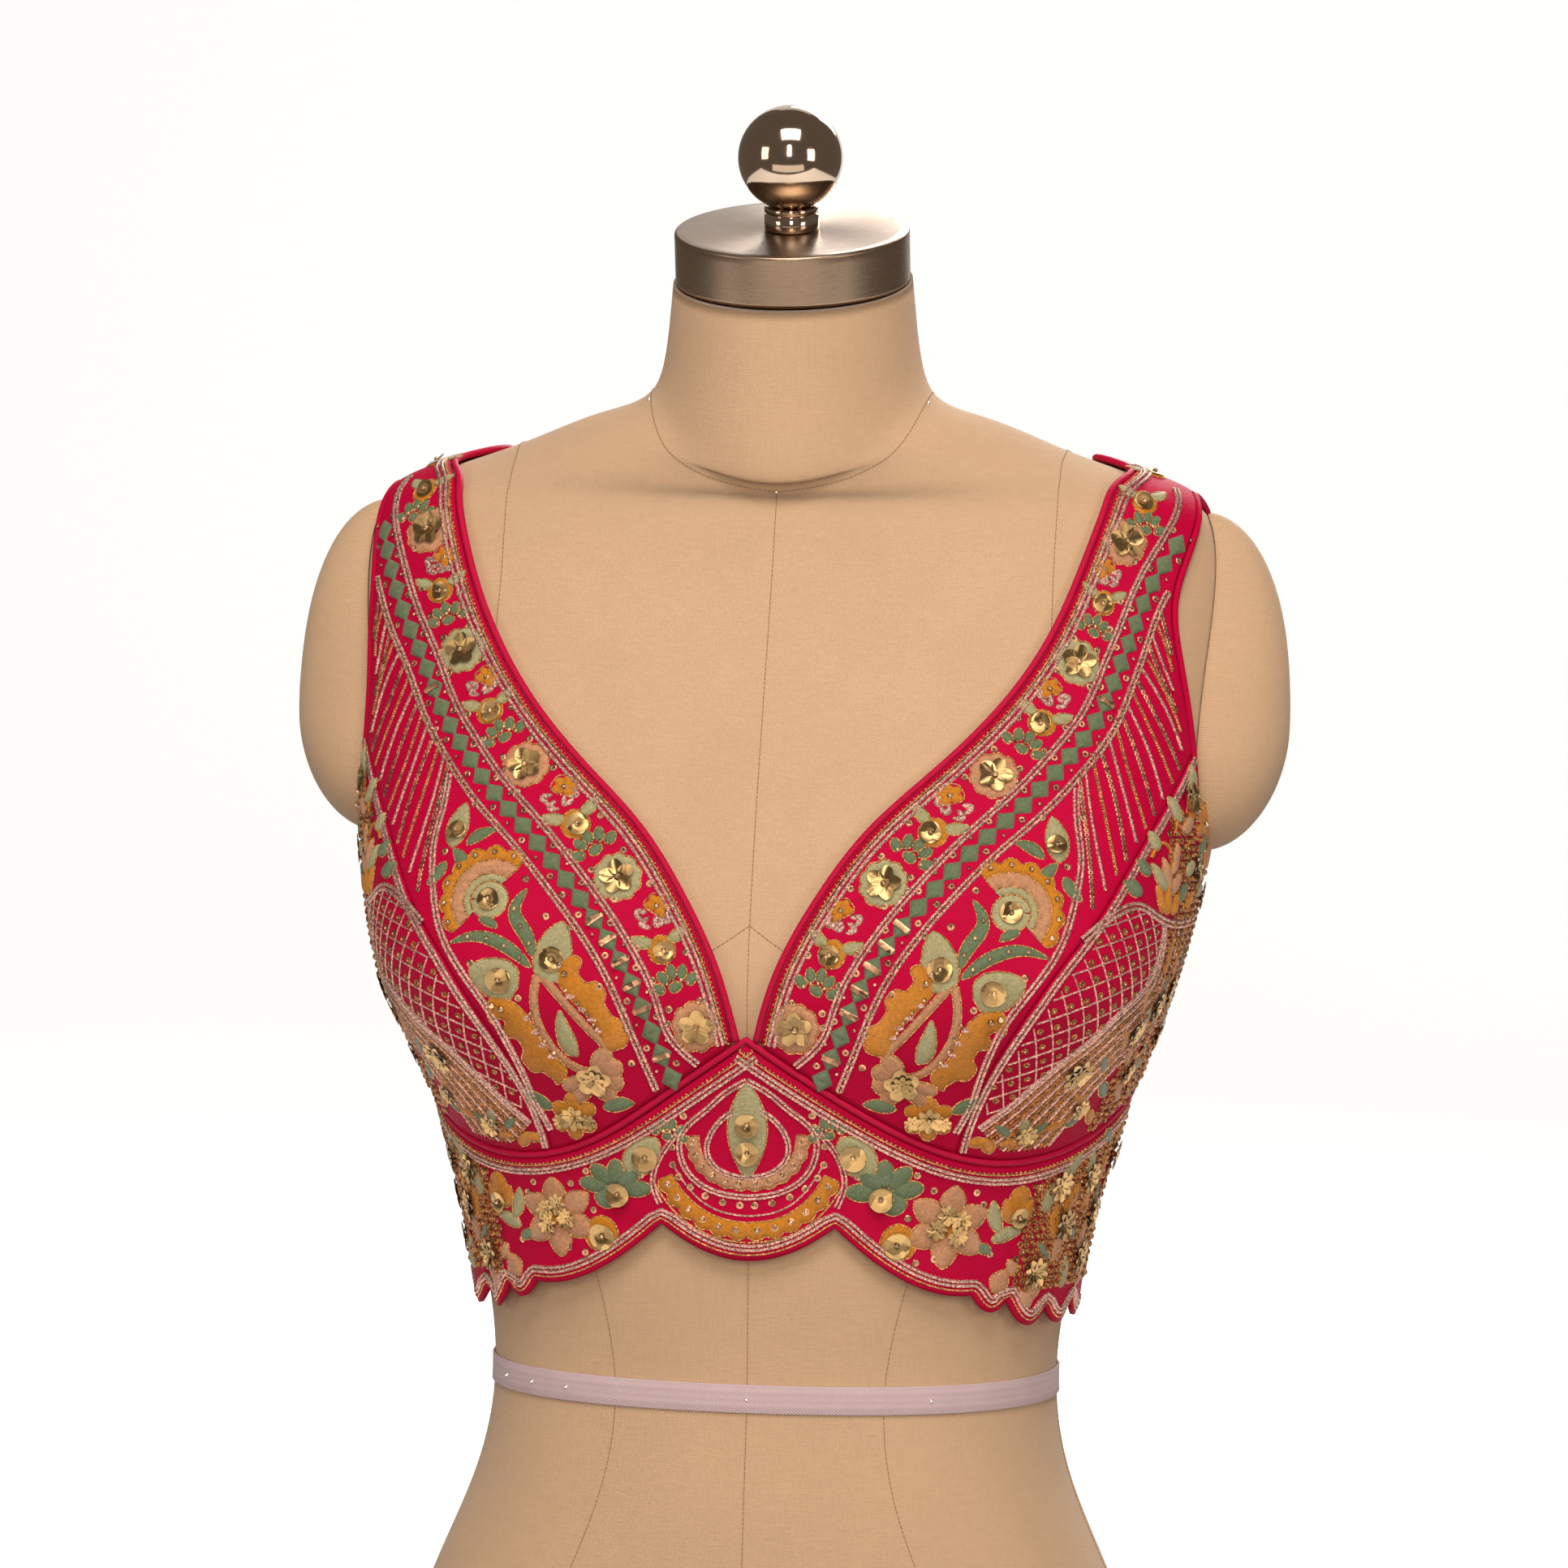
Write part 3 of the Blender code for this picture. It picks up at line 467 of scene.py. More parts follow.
def turned_piece(name, profile, lift, look, node, steps=160):
    """A piece turned about the neck's leaning axis, standing at a height above the neck's top."""
    points, faces = revolved(profile, steps)
    caps = [np.arange(steps)[None, ::-1], np.arange(len(points) - steps, len(points))[None]]
    piece = made(name, points * MM, [faces, *caps], look)
    lean = Matrix.Rotation(math.radians(CAP_TILT), 4, "X")
    foot = Matrix.Translation((0, SECTIONS[-1][4] * MM, SECTIONS[-1][0] * MM))
    piece.matrix_world = foot @ lean @ Matrix.Translation((0, 0, lift * MM))
    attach(piece, "root")
    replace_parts(piece, node)


cap_profile = [(CAP_RADIUS - 0.5, 0), (CAP_RADIUS, 0.5)]
cap_profile += [(CAP_RADIUS, height) for height in np.linspace(2, CAP_HEIGHT - CAP_BEVEL, 8)]
cap_profile += [
    (CAP_RADIUS - CAP_BEVEL * (1 - math.cos(turn)), CAP_HEIGHT - CAP_BEVEL * (1 - math.sin(turn)))
    for turn in (0.3, 0.7, 1.1, 1.5)
]
cap_profile += [(radius, CAP_HEIGHT) for radius in (46, 40, 30, 20, 12)]
turned_piece("neck_cap", cap_profile, SEAM_GAP, steel, "form_neck_cap")
lift = SEAM_GAP * 2 + CAP_HEIGHT
collar_profile = [(COLLAR_RADIUS - 0.3, 0), (COLLAR_RADIUS, 0.4), (COLLAR_RADIUS, 6.2), (GROOVE_RADIUS, 6.8)]
collar_profile += [(GROOVE_RADIUS, 7.3), (COLLAR_RADIUS, 7.8), (COLLAR_RADIUS, 9.6)]
collar_profile += [(COLLAR_RADIUS - 0.4, COLLAR_HEIGHT)]
turned_piece("cap_collar", collar_profile, lift, polished, "form_cap_collar", 96)
lift += COLLAR_HEIGHT + SEAM_GAP
seat = math.asin(COLLAR_RADIUS * 0.8 / BALL_RADIUS)
ball_profile = [
    (max(0.05, BALL_RADIUS * math.sin(t)), BALL_RADIUS * (math.cos(seat) - math.cos(t)))
    for t in np.linspace(seat, math.pi, 40)
]
turned_piece("ball", ball_profile, lift, polished, "form_finial", 96)


# The board under the hips, which the form stands on: stained wood with its grain from front to back.
wood = Look("board", (0.16, 0.085, 0.045), {"Roughness": 0.5})
grain = wood.noise(2.2, 4, wood.spot(1, 14, 1))
wood.wear(wood.tint(grain, 0.6, 1.5), roughness=grain * 0.2 + 0.4, relief=grain, depth=0.1)
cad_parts["form_base"].data.materials[0] = wood.material


# The blouse: raspberry raw silk over a cotton lining, cut from the form's own surface moved out by the gap,
# each panel between its seam lines. Left and right are the picture's, and the left half mirrors the right.
CLOTH_THICK, CORD_RADIUS = 2.0, 1.5
CORD_HALF = CORD_RADIUS + SEAM_GAP
BODY_GAP, SHOULDER_GAP, BACK_EDGE_GAP = 2.5, 1.6, 3.2
HEM_FLARE, HEM_FLARE_HEIGHT = 5.0, 60
FOLD_ANGLE, FOLD_HALF_ANGLE, FOLD_DEPTH = -62, 4, 5.0
SIDE_SEAM_ANGLE, BACK_EDGE_HALF = 93, 0.6
STRAP_LEAN, LEAN_ANGLE, LEAN_WIDE, LEAN_RISE, LEAN_TALL = 3.75, 63, 16, 340, 38
CUP_DROP, DROP_ANGLE, DROP_WIDE, DROP_RISE, DROP_TALL = 4.5, -28, 30, 118, 28
NECK_EDGE = (
    (1.7, 157), (3.6, 184), (7.8, 217), (13.5, 246), (20.3, 268), (28, 292),
    (34, 315), (39, 340), (44.5, 367), (56, 397), (90, 422), (99, 430),
    (109, 429), (119, 404), (131, 352), (145, 302), (162, 268), (180, 258),
)
ARMHOLE = (
    (90, 393), (73, 379), (65.5, 361), (62.5, 344), (63, 322), (65, 298),
    (68, 274), (72, 250), (79, 232), (91, 223), (102, 231), (110, 253),
    (115, 285), (117, 318), (114, 350), (105, 379),
)
UNDERBUST = (
    (0, 158), (3, 151), (10, 137), (20, 121), (31, 109), (43, 104),
    (54, 106), (66, 113), (80, 124), (93, 131),
)
PRINCESS_SEAM = (
    (33.5, 109), (33, 144), (34.5, 170), (38.5, 192), (44.5, 213), (50, 232), (59, 257), (67.3, 279),
)
# The columns are from_angle, to_angle, from_rise, to_rise, depth and count.
SCALLOPS = (
    (-14.5, 14.5, 75, 75, 15, 1),
    (14.5, 42, 75, 46, 8.5, 1),
    (42, 51, 46, 43, 6, 1),
    (51, 64.5, 43, 38, 9, 1),
    (64.5, SIDE_SEAM_ANGLE, 38, 38, 8, 2),
    (SIDE_SEAM_ANGLE, 180, 38, 38, 8, 6),
)
# Soft puckers that the dense stitching pulls. The columns are angle, rise, half_length, half_width, turn
# and depth.
PUCKERS = (
    (-84, 190, 26, 3.4, 80, 0.9), (-78, 150, 20, 3.0, 62, 0.8), (-88, 110, 18, 3.2, 70, 1.0),
    (80, 176, 24, 3.2, 96, 0.8), (74, 148, 18, 2.8, 112, 0.8), (86, 96, 20, 3.4, 84, 1.0),
    (-70, 60, 22, 3.0, 78, 1.1), (-52, 52, 12, 2.4, 60, 0.6), (54, 58, 16, 2.6, 118, 0.7),
    (-66, 330, 16, 3.0, 72, 0.5), (64, 318, 18, 3.0, 104, 0.5), (8, 84, 14, 3.2, 35, 0.5),
    (-20, 82, 12, 2.6, 140, 0.5), (120, 130, 42, 6.0, 60, 1.2), (-124, 118, 36, 5.4, 128, 1.3),
    (150, 170, 46, 6.5, 80, 1.1), (-148, 150, 40, 6.0, 104, 1.0), (104, 66, 24, 4.2, 74, 1.2),
    (-101, 74, 26, 4.4, 110, 1.2), (132, 270, 30, 4.6, 62, 0.8), (-134, 262, 32, 4.8, 116, 0.8),
)


def cloth_gap(chart):
    """From the form to the cloth: close over the shoulders, wider at the hem and under the back opening."""
    angle, rise = chart[..., 0], chart[..., 1]
    gap = BODY_GAP + (SHOULDER_GAP - BODY_GAP) / (1 + np.exp((375 - rise) / 9))
    gap = gap + (BACK_EDGE_GAP - BODY_GAP) * np.exp(-(((180 - np.abs(angle)) / 9) ** 2))
    low = np.clip(1 - (rise - 35) / HEM_FLARE_HEIGHT, 0, 1.2) ** 2
    round_front = 0.35 + 0.65 * np.exp(-((angle / 60) ** 4))
    fold = FOLD_DEPTH * np.exp(-(((angle - FOLD_ANGLE) / FOLD_HALF_ANGLE) ** 2))
    return gap + low * (HEM_FLARE * round_front - fold * 0.6)


def puckered(chart):
    """How far the cloth's face stands from its plain shape, in millimetres."""
    lift = np.zeros(chart.shape[:-1])
    for angle, rise, half_length, half_width, turn, depth in PUCKERS:
        x, y = (chart[..., 0] - angle) * CHART_MM[0], chart[..., 1] - rise
        cosine, sine = math.cos(math.radians(turn)), math.sin(math.radians(turn))
        along, off = (x * cosine + y * sine) / half_length, (y * cosine - x * sine) / half_width
        lift += depth * np.exp(-(along**2)) * (np.exp(-(off**2)) - 0.55 * np.exp(-((off - 1.9) ** 2)))
    return lift


def cloth_top(chart):
    return cloth_gap(chart) + CLOTH_THICK + puckered(chart)


def curve(rows, count, start=0.0, stop=1.0, closed=False):
    """Chart places along a seam line, evenly spread, between two shares of its length."""
    rows = np.array(rows + (rows[:1] if closed else ()), float)
    knots = distance_along(rows * CHART_MM)
    length = knots[-1]
    if closed:
        knots = np.concatenate([knots[-4:-1] - knots[-1], knots, knots[1:4] + knots[-1]])
        rows = np.concatenate([rows[-4:-1], rows, rows[1:4]])
    return natural_spline(knots, rows)(np.linspace(start, stop, count) * length)


def share_at(rows, column, value, closed=False, after=0.0):
    """The share of a seam line's length where a column first reaches a value, past a given share."""
    shares = np.linspace(after, 1, 4001)
    line = curve(rows, 4001, after, 1, closed)[:, column]
    return shares[np.nonzero(np.diff(np.sign(line - value)))[0][0]]


def stepped(chart, east, north):
    """Chart places moved by millimetres round and up."""
    degree, askew, unit = bearings(chart)[3:]
    rise = north / unit
    return chart + np.stack([(east - askew * rise) / degree, rise], -1)


def change_along(line, closed=False):
    """How a line's values change from place to place. A closed line's ends are neighbours."""
    around = np.concatenate([line[-1:], line, line[:1]])
    return np.gradient(around, axis=0)[1:-1] if closed else np.gradient(line, axis=0)


def heading(chart, closed=False):
    """The direction of a line at each of its places, as millimetres round and up."""
    change = change_along(chart, closed)
    degree, askew, unit = bearings(chart)[3:]
    return direction(np.stack([change[:, 0] * degree + change[:, 1] * askew, change[:, 1] * unit], -1))


def left_of(way):
    """The direction that lies to the left of each direction on the surface."""
    return np.stack([-way[:, 1], way[:, 0]], -1)


def beside(chart, distance, closed=False):
    """A line moved sideways on the surface by millimetres, to the left of its own direction."""
    return stepped(chart, *(left_of(heading(chart, closed)) * distance).T)


def patch(bottom, top, left, right):
    """A Coons patch in the chart between four seam lines. Rows run from the bottom to the top."""
    v, u = np.meshgrid(np.linspace(0, 1, len(left)), np.linspace(0, 1, len(bottom)), indexing="ij")
    u, v = u[..., None], v[..., None]
    low = (1 - u) * bottom[0] + u * bottom[-1]
    high = (1 - u) * top[0] + u * top[-1]
    across = (1 - v) * bottom[None] + v * top[None]
    return across + (1 - u) * left[:, None] + u * right[:, None] - (1 - v) * low - v * high


def drawn_in(grid, sides):
    """Pull the named edges of a chart grid in by half the seam gap."""
    grid = grid.copy()
    edges = {"bottom": (0, 1), "top": (-1, -2)}
    walls = {"left": (0, 1), "right": (-1, -2)}
    for side in sides:
        at, inner = {**edges, **walls}[side]
        edge, next_in = (grid[at], grid[inner]) if side in edges else (grid[:, at], grid[:, inner])
        length = np.linalg.norm(skin(next_in) - skin(edge), axis=-1, keepdims=True)
        edge += (next_in - edge) * (SEAM_GAP / 2) / length
    return grid


def worn(chart, side=1):
    """Where a seam line or panel lies on the form. A side of -1 mirrors it to the picture's left."""
    angle, rise = chart[..., 0] * side, chart[..., 1]
    lean = np.exp(-(((np.abs(angle) - LEAN_ANGLE) / LEAN_WIDE) ** 2) - ((rise - LEAN_RISE) / LEAN_TALL) ** 2)
    drop = np.exp(-(((angle - DROP_ANGLE) / DROP_WIDE) ** 2) - ((rise - DROP_RISE) / DROP_TALL) ** 2)
    return np.stack([angle - STRAP_LEAN * lean, rise - CUP_DROP * drop], -1)


def scallop_edge(start, stop, steps=24):
    """Chart places of the scalloped hem between two angles."""
    points = []
    for from_angle, to_angle, from_rise, to_rise, depth, count in SCALLOPS:
        for i in range(count):
            within = np.linspace(0, 1, steps + 1)
            share = (i + within) / count
            angle = from_angle + (to_angle - from_angle) * share
            rise = from_rise + (to_rise - from_rise) * share - depth * (1 - (2 * within - 1) ** 2)
            points += list(zip(angle, rise))[bool(points) :]
    edge = np.array(points)
    edge = np.concatenate([edge[edge[:, 0] > SCALLOPS[0][1]][::-1] * (-1, 1), edge])
    return edge[(edge[:, 0] > start - 1e-6) & (edge[:, 0] < stop + 1e-6)]


def underbust_line(angle):
    line = curve(UNDERBUST, 600)
    return np.interp(np.abs(angle), line[:, 0], line[:, 1])


SILK_THREAD, EDGE_ROUND, LEAST_FILLED = 0.62, 0.5, 0.4
silk = Look("raw_silk", dyed(197, 2, 58), {"Roughness": 0.6, "Specular IOR Level": 0.06})
silk_slubs = silk.noise(1.0, 3, silk.spot(9, 9, 0.45))
silk.wear(
    silk.tint(silk_slubs * 0.6 + weave(silk, SILK_THREAD) * 0.2 + silk.noise(28) * 0.3, 0.72, 1.16),
    roughness=silk_slubs * 0.25 + 0.42,
    relief=weave(silk, SILK_THREAD) * 0.5 + silk_slubs,
    depth=0.16,
)


def panel(name, chart, side, node):
    """A panel of the blouse: face, turned edge and lining as one thin closed shell."""
    chart = worn(chart, side)
    if side < 0:
        chart = chart[:, ::-1]
    rows, columns = chart.shape[:2]
    top, gap = cloth_top(chart), cloth_gap(chart)
    for edge in (np.s_[0], np.s_[-1], np.s_[:, 0], np.s_[:, -1]):
        top[edge] -= EDGE_ROUND
    outer, inner = place(chart, top), place(chart, gap)
    points = np.concatenate([outer.reshape(-1, 3), inner.reshape(-1, 3)])
    count = rows * columns
    grid = np.arange(count).reshape(rows, columns)
    rim = np.concatenate([grid[0], grid[1:, -1], grid[-1, -2::-1], grid[-2:0:-1, 0]])
    rim_next = np.roll(rim, -1)
    rim_faces = np.stack([rim, rim + count, rim_next + count, rim_next], -1)
    faces = [quads(rows, columns), quads(rows, columns)[:, ::-1] + count, rim_faces]
    map_mm = map_of(outer, chart[..., 1])
    piece = made(name, points, faces, silk, np.tile(map_mm, (2, 1)))
    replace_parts(piece, node)
    corners = [outer[:-1, :-1], outer[:-1, 1:], outer[1:, 1:], outer[1:, :-1]]
    area = np.linalg.norm(np.cross(corners[2] - corners[0], corners[3] - corners[1]), axis=-1).sum() / 2
    return piece


NECK_SHOULDER = share_at(NECK_EDGE, 0, 90)
ARM_PRINCESS = share_at(ARMHOLE, 1, PRINCESS_SEAM[-1][1], closed=True)
ARM_SIDE = share_at(ARMHOLE, 0, SIDE_SEAM_ANGLE, closed=True, after=ARM_PRINCESS)
CUP_ROWS, CUP_UPPER, CUP_ACROSS, SIDE_ACROSS = 141, 61, 41, 45

princess = curve(PRINCESS_SEAM, CUP_ROWS - CUP_UPPER + 1)
armhole_front = curve(ARMHOLE, CUP_UPPER, ARM_PRINCESS, 0, closed=True)
princess[-1] = armhole_front[0]
outer_edge = np.concatenate([princess, armhole_front[1:]])
neck = curve(NECK_EDGE, CUP_ROWS, 0, NECK_SHOULDER)
angles = np.linspace(neck[0, 0], princess[0, 0], CUP_ACROSS)
bottom = beside(np.stack([angles, underbust_line(angles)], -1), CORD_HALF)
bottom[0], outer_edge[0] = neck[0], bottom[-1]
top = neck[-1] + (outer_edge[-1] - neck[-1]) * np.linspace(0, 1, CUP_ACROSS)[:, None]
cup_front = drawn_in(patch(bottom, top, neck, outer_edge), ("top", "right"))

side_top = curve(ARMHOLE, SIDE_ACROSS, ARM_PRINCESS, ARM_SIDE, closed=True)
side_princess = curve(PRINCESS_SEAM, CUP_ROWS - CUP_UPPER + 1)
side_princess[-1] = side_top[0]
angles = np.linspace(side_princess[0, 0], SIDE_SEAM_ANGLE, SIDE_ACROSS)
bottom = beside(np.stack([angles, underbust_line(angles)], -1), CORD_HALF)
side_princess[0] = bottom[0]
side_edge = bottom[-1] + (side_top[-1] - bottom[-1]) * np.linspace(0, 1, len(side_princess))[:, None]
cup_side = drawn_in(patch(bottom, side_top, side_princess, side_edge), ("left", "right"))

hem = scallop_edge(-SIDE_SEAM_ANGLE, SIDE_SEAM_ANGLE)
band_top = beside(np.stack([hem[:, 0], underbust_line(hem[:, 0])], -1), -CORD_HALF)
band_top[:, 0] = np.clip(band_top[:, 0], -SIDE_SEAM_ANGLE, SIDE_SEAM_ANGLE)
steps = np.linspace(0, 1, 36)[:, None]
left, right = (hem[i] + (band_top[i] - hem[i]) * steps for i in (0, -1))
band = drawn_in(patch(hem, band_top, left, right), ("left", "right"))

back_edge = 180 - BACK_EDGE_HALF / bearings(np.array([180.0, 150.0]))[3]
back_hem = scallop_edge(SIDE_SEAM_ANGLE, 180, 16)
back_hem[-1, 0] = back_edge
back_neck = curve(NECK_EDGE, 60, 1, NECK_SHOULDER)
back_neck[0, 0] = back_edge
back_arm = curve(ARMHOLE, 60, ARM_SIDE, 1, closed=True)
steps = np.linspace(0, 1, 40)[:, None]
centre = np.concatenate([back_hem[-1] + (back_neck[0] - back_hem[-1]) * steps, back_neck[1:]])
side_line = np.concatenate([back_hem[0] + (back_arm[0] - back_hem[0]) * steps, back_arm[1:]])
top = side_line[-1] + (centre[-1] - side_line[-1]) * np.linspace(0, 1, len(back_hem))[:, None]
back = drawn_in(patch(back_hem, top, side_line, centre), ("left", "top"))
# The rows that turn the corner from the back opening into the neck would fold over, so they are eased.
EASE_FROM, EASE_TO, EASINGS = 20, 60, 12
for _ in range(EASINGS):
    under, over = back[EASE_FROM - 1 : EASE_TO - 1, 1:-1], back[EASE_FROM + 1 : EASE_TO + 1, 1:-1]
    eased = back[EASE_FROM:EASE_TO]
    eased[:, 1:-1] = (under + over + eased[:, :-2] + eased[:, 2:]) / 4

panel("band", band, 1, "band_front")
fronts = {}
for side, word in HALVES:
    fronts[side] = panel(f"cup_{word}", cup_front, side, f"cup_front_{word}")
    panel(f"side_cup_{word}", cup_side, side, f"cup_side_{word}")
    panel(f"back_panel_{word}", back, side, f"back_{word}")


# The pipings: bias silk sewn tight over a cotton cord. They finish the neck and the armholes and lie in the
# underbust seam, each in the gap that the panels leave.
bias = Look("bias_silk", dyed(196, 3, 60), {"Roughness": 0.55, "Specular IOR Level": 0.15})
PIPING_SIDES, RIB_EACH = 12, 1.1
along, around = bias.thread_map()
ribs = (along + around).waves(RIB_EACH)
shade = bias.tint(ribs * 0.3 + bias.noise(5) * 0.6, 0.78, 1.15)
bias.wear(shade, relief=ribs * 0.5 + bias.noise(1.2), depth=0.12)


def corded(name, chart, off, node, look, closed=False):
    """A round cord along chart places, already where they are worn, with closed ends."""
    centre = place(chart, off) / MM
    way = direction(change_along(centre, closed))
    aside = direction(np.cross(way, bearings(chart)[2]))
    out = np.cross(aside, way)
    turn = np.linspace(0, 2 * math.pi, PIPING_SIDES + 1)
    ring = np.cos(turn)[None, :, None] * aside[:, None] + np.sin(turn)[None, :, None] * out[:, None]
    points = centre[:, None] + ring * CORD_RADIUS
    if closed:
        points = np.concatenate([points, points[:1]])
    along = distance_along(points[:, 0])
    map_mm = np.stack(np.broadcast_arrays(along[:, None], turn * CORD_RADIUS), -1).reshape(-1, 2)
    faces = [quads(len(points), PIPING_SIDES + 1)]
    if not closed:
        last = len(map_mm) - PIPING_SIDES - 1
        faces += [np.arange(PIPING_SIDES)[None, ::-1], np.arange(last, last + PIPING_SIDES)[None]]
    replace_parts(made(name, points * MM, faces, look, map_mm), node)


neck_line = curve(NECK_EDGE, 420)
neck_line[-1, 0] = 180 - BACK_EDGE_HALF / 2
armhole_line = curve(ARMHOLE, 261, closed=True)[:-1]
edges = (("neck", neck_line, False, bias), ("armhole", armhole_line, True, silk))
for side, word in HALVES:
    for name, line, closed, look in edges:
        line = worn(beside(line, CORD_HALF, closed), side)
        middle = cloth_gap(line) + CLOTH_THICK / 2
        corded(f"{name}_cord_{word}", line, middle, f"{name}_piping_{word}", look, closed)
seam = np.stack([hem[:, 0], underbust_line(hem[:, 0])], -1)
seam[[0, -1], 0] *= 0.998
seam = worn(seam)
corded("underbust_cord", seam, cloth_gap(seam) + CLOTH_THICK / 2, "underbust_piping", bias)


# The back closing: a silk placket behind the opening and five wire hooks, which the solids already give.
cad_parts["back_placket"].data.materials[0] = silk.material
for i in range(5):
    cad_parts[f"hook_{i + 1}"].data.materials[0] = steel_pin.material


# The embroidery. Each thread or metal is gathered as one piece for each half of the blouse. A stitch has a
# place in the chart, and millimetres round, up and out from it.
class Work:
    """One thread or metal, and all that is worked in it."""

    def __init__(self, name, look):
        self.name, self.look = name, look
        self.items = []

    def add(self, at, off, faces, map_mm=None, whole=False):
        at, off = np.broadcast_to(at, (len(off), 2)), np.asarray(off, float)
        self.items.append((at, off, faces, off[:, :2] if map_mm is None else map_mm, whole))

    def sewn(self):
        """One piece for each half. Whole motifs, at the centre front, go with the right half."""
        for side, word in HALVES:
            items = [item for item in self.items if side > 0 or not item[4]]
            firsts = np.concatenate([[0], np.cumsum([len(item[0]) for item in items])])
            faces = [item[2][:, ::side] + first for item, first in zip(items, firsts)]
            at, off, map_mm = (np.concatenate([item[i] for item in items]) for i in (0, 1, 3))
            at = worn(at, side)
            round_way, up_way, out = bearings(at)[:3]
            lift = cloth_top(at) + off[:, 2]
            points = skin(at) + round_way * (off[:, :1] * side) + up_way * off[:, 1:2] + out * lift[:, None]
            piece = made(f"{self.name}_{word}", points * MM, faces, self.look, map_mm)
            piece.parent = fronts[side]


def turned_by(xy, degrees):
    cosine, sine = math.cos(math.radians(degrees)), math.sin(math.radians(degrees))
    return np.stack([xy[:, 0] * cosine - xy[:, 1] * sine, xy[:, 0] * sine + xy[:, 1] * cosine], -1)


def on_cloth(at, turn, xy):
    """Chart places of millimetres x and y round a place, after a turn in degrees."""
    xy = turned_by(np.asarray(xy, float), turn)
    return stepped(np.broadcast_to(np.asarray(at, float), xy.shape), xy[:, 0], xy[:, 1])


STRAND_EACH = 0.42


def thread_look(name, colour):
    """Silk floss in satin stitch: fine parallel threads that lie across the pad."""
    look = Look(name, colour, {"Roughness": 0.45, "Sheen Weight": 0.1, "Sheen Roughness": 0.3})
    along, across = look.thread_map()
    wobble = look.noise(2.5) * 2.4
    strands = (along * (2 * math.pi / STRAND_EACH) + wobble).sine() * 0.5 + 0.5
    look.wear(
        look.tint(strands * 0.5 + look.noise(1.3, 3) * 0.9 - 0.15, 0.35, 1.3),
        relief=strands * 0.6 + look.noise(0.9) * 1.5,
        depth=0.25,
    )
    return look


def metal_look(name, colour, roughness, sparkle, dark, light, depth):
    """Beaten or twisted metal, whose small facets, sparkle millimetres wide, catch the light one by one
    through their relief. Each facet's colour is also set between dark and light times the metal's own: partly
    a real change of tone from facet to facet, and in the brightest facets painted glints.
    """
    look = Look(name, colour, {"Metallic": 0.85, "Roughness": roughness})
    cells = look.node("ShaderNodeTexVoronoi", {"feature": "F1"}, look.spot(), Scale=1 / sparkle)
    facets = look.node("ShaderNodeSeparateColor", {}, cells["Color"])
    # Painted glints: facets coloured up to light times the metal's colour, on top of a real change of tone
    # from facet to facet.
    shade = look.tint(facets**1.6, dark, light)
    look.wear(shade, roughness=facets * 0.25 + roughness, relief=cells, depth=depth)
    return look


mustard = Work("mustard_stitch", thread_look("mustard_floss", dyed(228, 140, 2)))
sage = Work("sage_stitch", thread_look("sage_floss", dyed(116, 132, 92)))
pale = Work("pale_stitch", thread_look("pale_green_floss", dyed(194, 182, 130)))
peach = Work("peach_stitch", thread_look("peach_floss", dyed(222, 156, 110)))
# For each metal, the two numbers before the relief depth set how dark and how light its facets are coloured;
# the lightest facets are painted glints.
zari = Work("zari_silver", metal_look("silver_zari", dyed(190, 140, 126), 0.35, 0.5, 0.4, 2.3, 0.2))
gold = Work("zari_gold", metal_look("gold_zari", dyed(176, 130, 80), 0.35, 0.5, 0.4, 2.4, 0.2))
antique = Work("antique_gold", metal_look("antique_gold", dyed(146, 94, 50), 0.35, 0.6, 0.25, 2.2, 0.25))
ring = Work("ring_sequins", metal_look("ring_sequin", dyed(182, 136, 102), 0.2, 2.4, 0.4, 1.7, 0.05))
disc = Work("discs", metal_look("gold_disc", dyed(184, 148, 96), 0.16, 5.0, 0.5, 1.4, 0.12))
bead = Work("beads", metal_look("glass_bead", dyed(184, 152, 116), 0.14, 1.6, 0.4, 2.0, 0.08))

HALF_ROUND = np.linspace(-1, 1, 7)


def pad(work, at, turn, spine, wide, high=0.9, whole=False):
    """Raised satin stitch along a spine in millimetres round a place, its threads lying across the spine.
    wide is the half width, or the widths to the left and right. It gives the pad's outline."""
    aside = left_of(direction(np.gradient(spine, axis=0)))
    wide = np.asarray(wide, float)
    wide = np.broadcast_to(wide.reshape(-1, 1) if wide.ndim < 2 else wide, (len(spine), 2))
    reach = np.where(HALF_ROUND > 0, wide[:, :1] * HALF_ROUND, wide[:, -1:] * HALF_ROUND)
    xy = spine[:, None] + aside[:, None] * reach[..., None]
    swell = np.minimum(1, wide.sum(1) / max(1e-6, np.median(wide.sum(1))))[:, None] ** 0.5
    z = np.reshape(high, (-1, 1)) * swell * np.sqrt(np.clip(1 - HALF_ROUND**2, 0, 1)) - 0.15
    off = np.zeros((z.size, 3))
    off[:, 2] = z.ravel()
    map_mm = np.stack(np.broadcast_arrays(distance_along(spine)[:, None], reach), -1).reshape(-1, 2)
    work.add(on_cloth(at, turn, xy.reshape(-1, 2)), off, quads(*xy.shape[:2])[:, ::-1], map_mm, whole)
    return np.concatenate([xy[:, -1], xy[::-1, 0]])


CORD_SECTION, CORD_SUNK, CORD_BEAT = np.radians([200, 125, 55, -20]), 0.25, 0.16


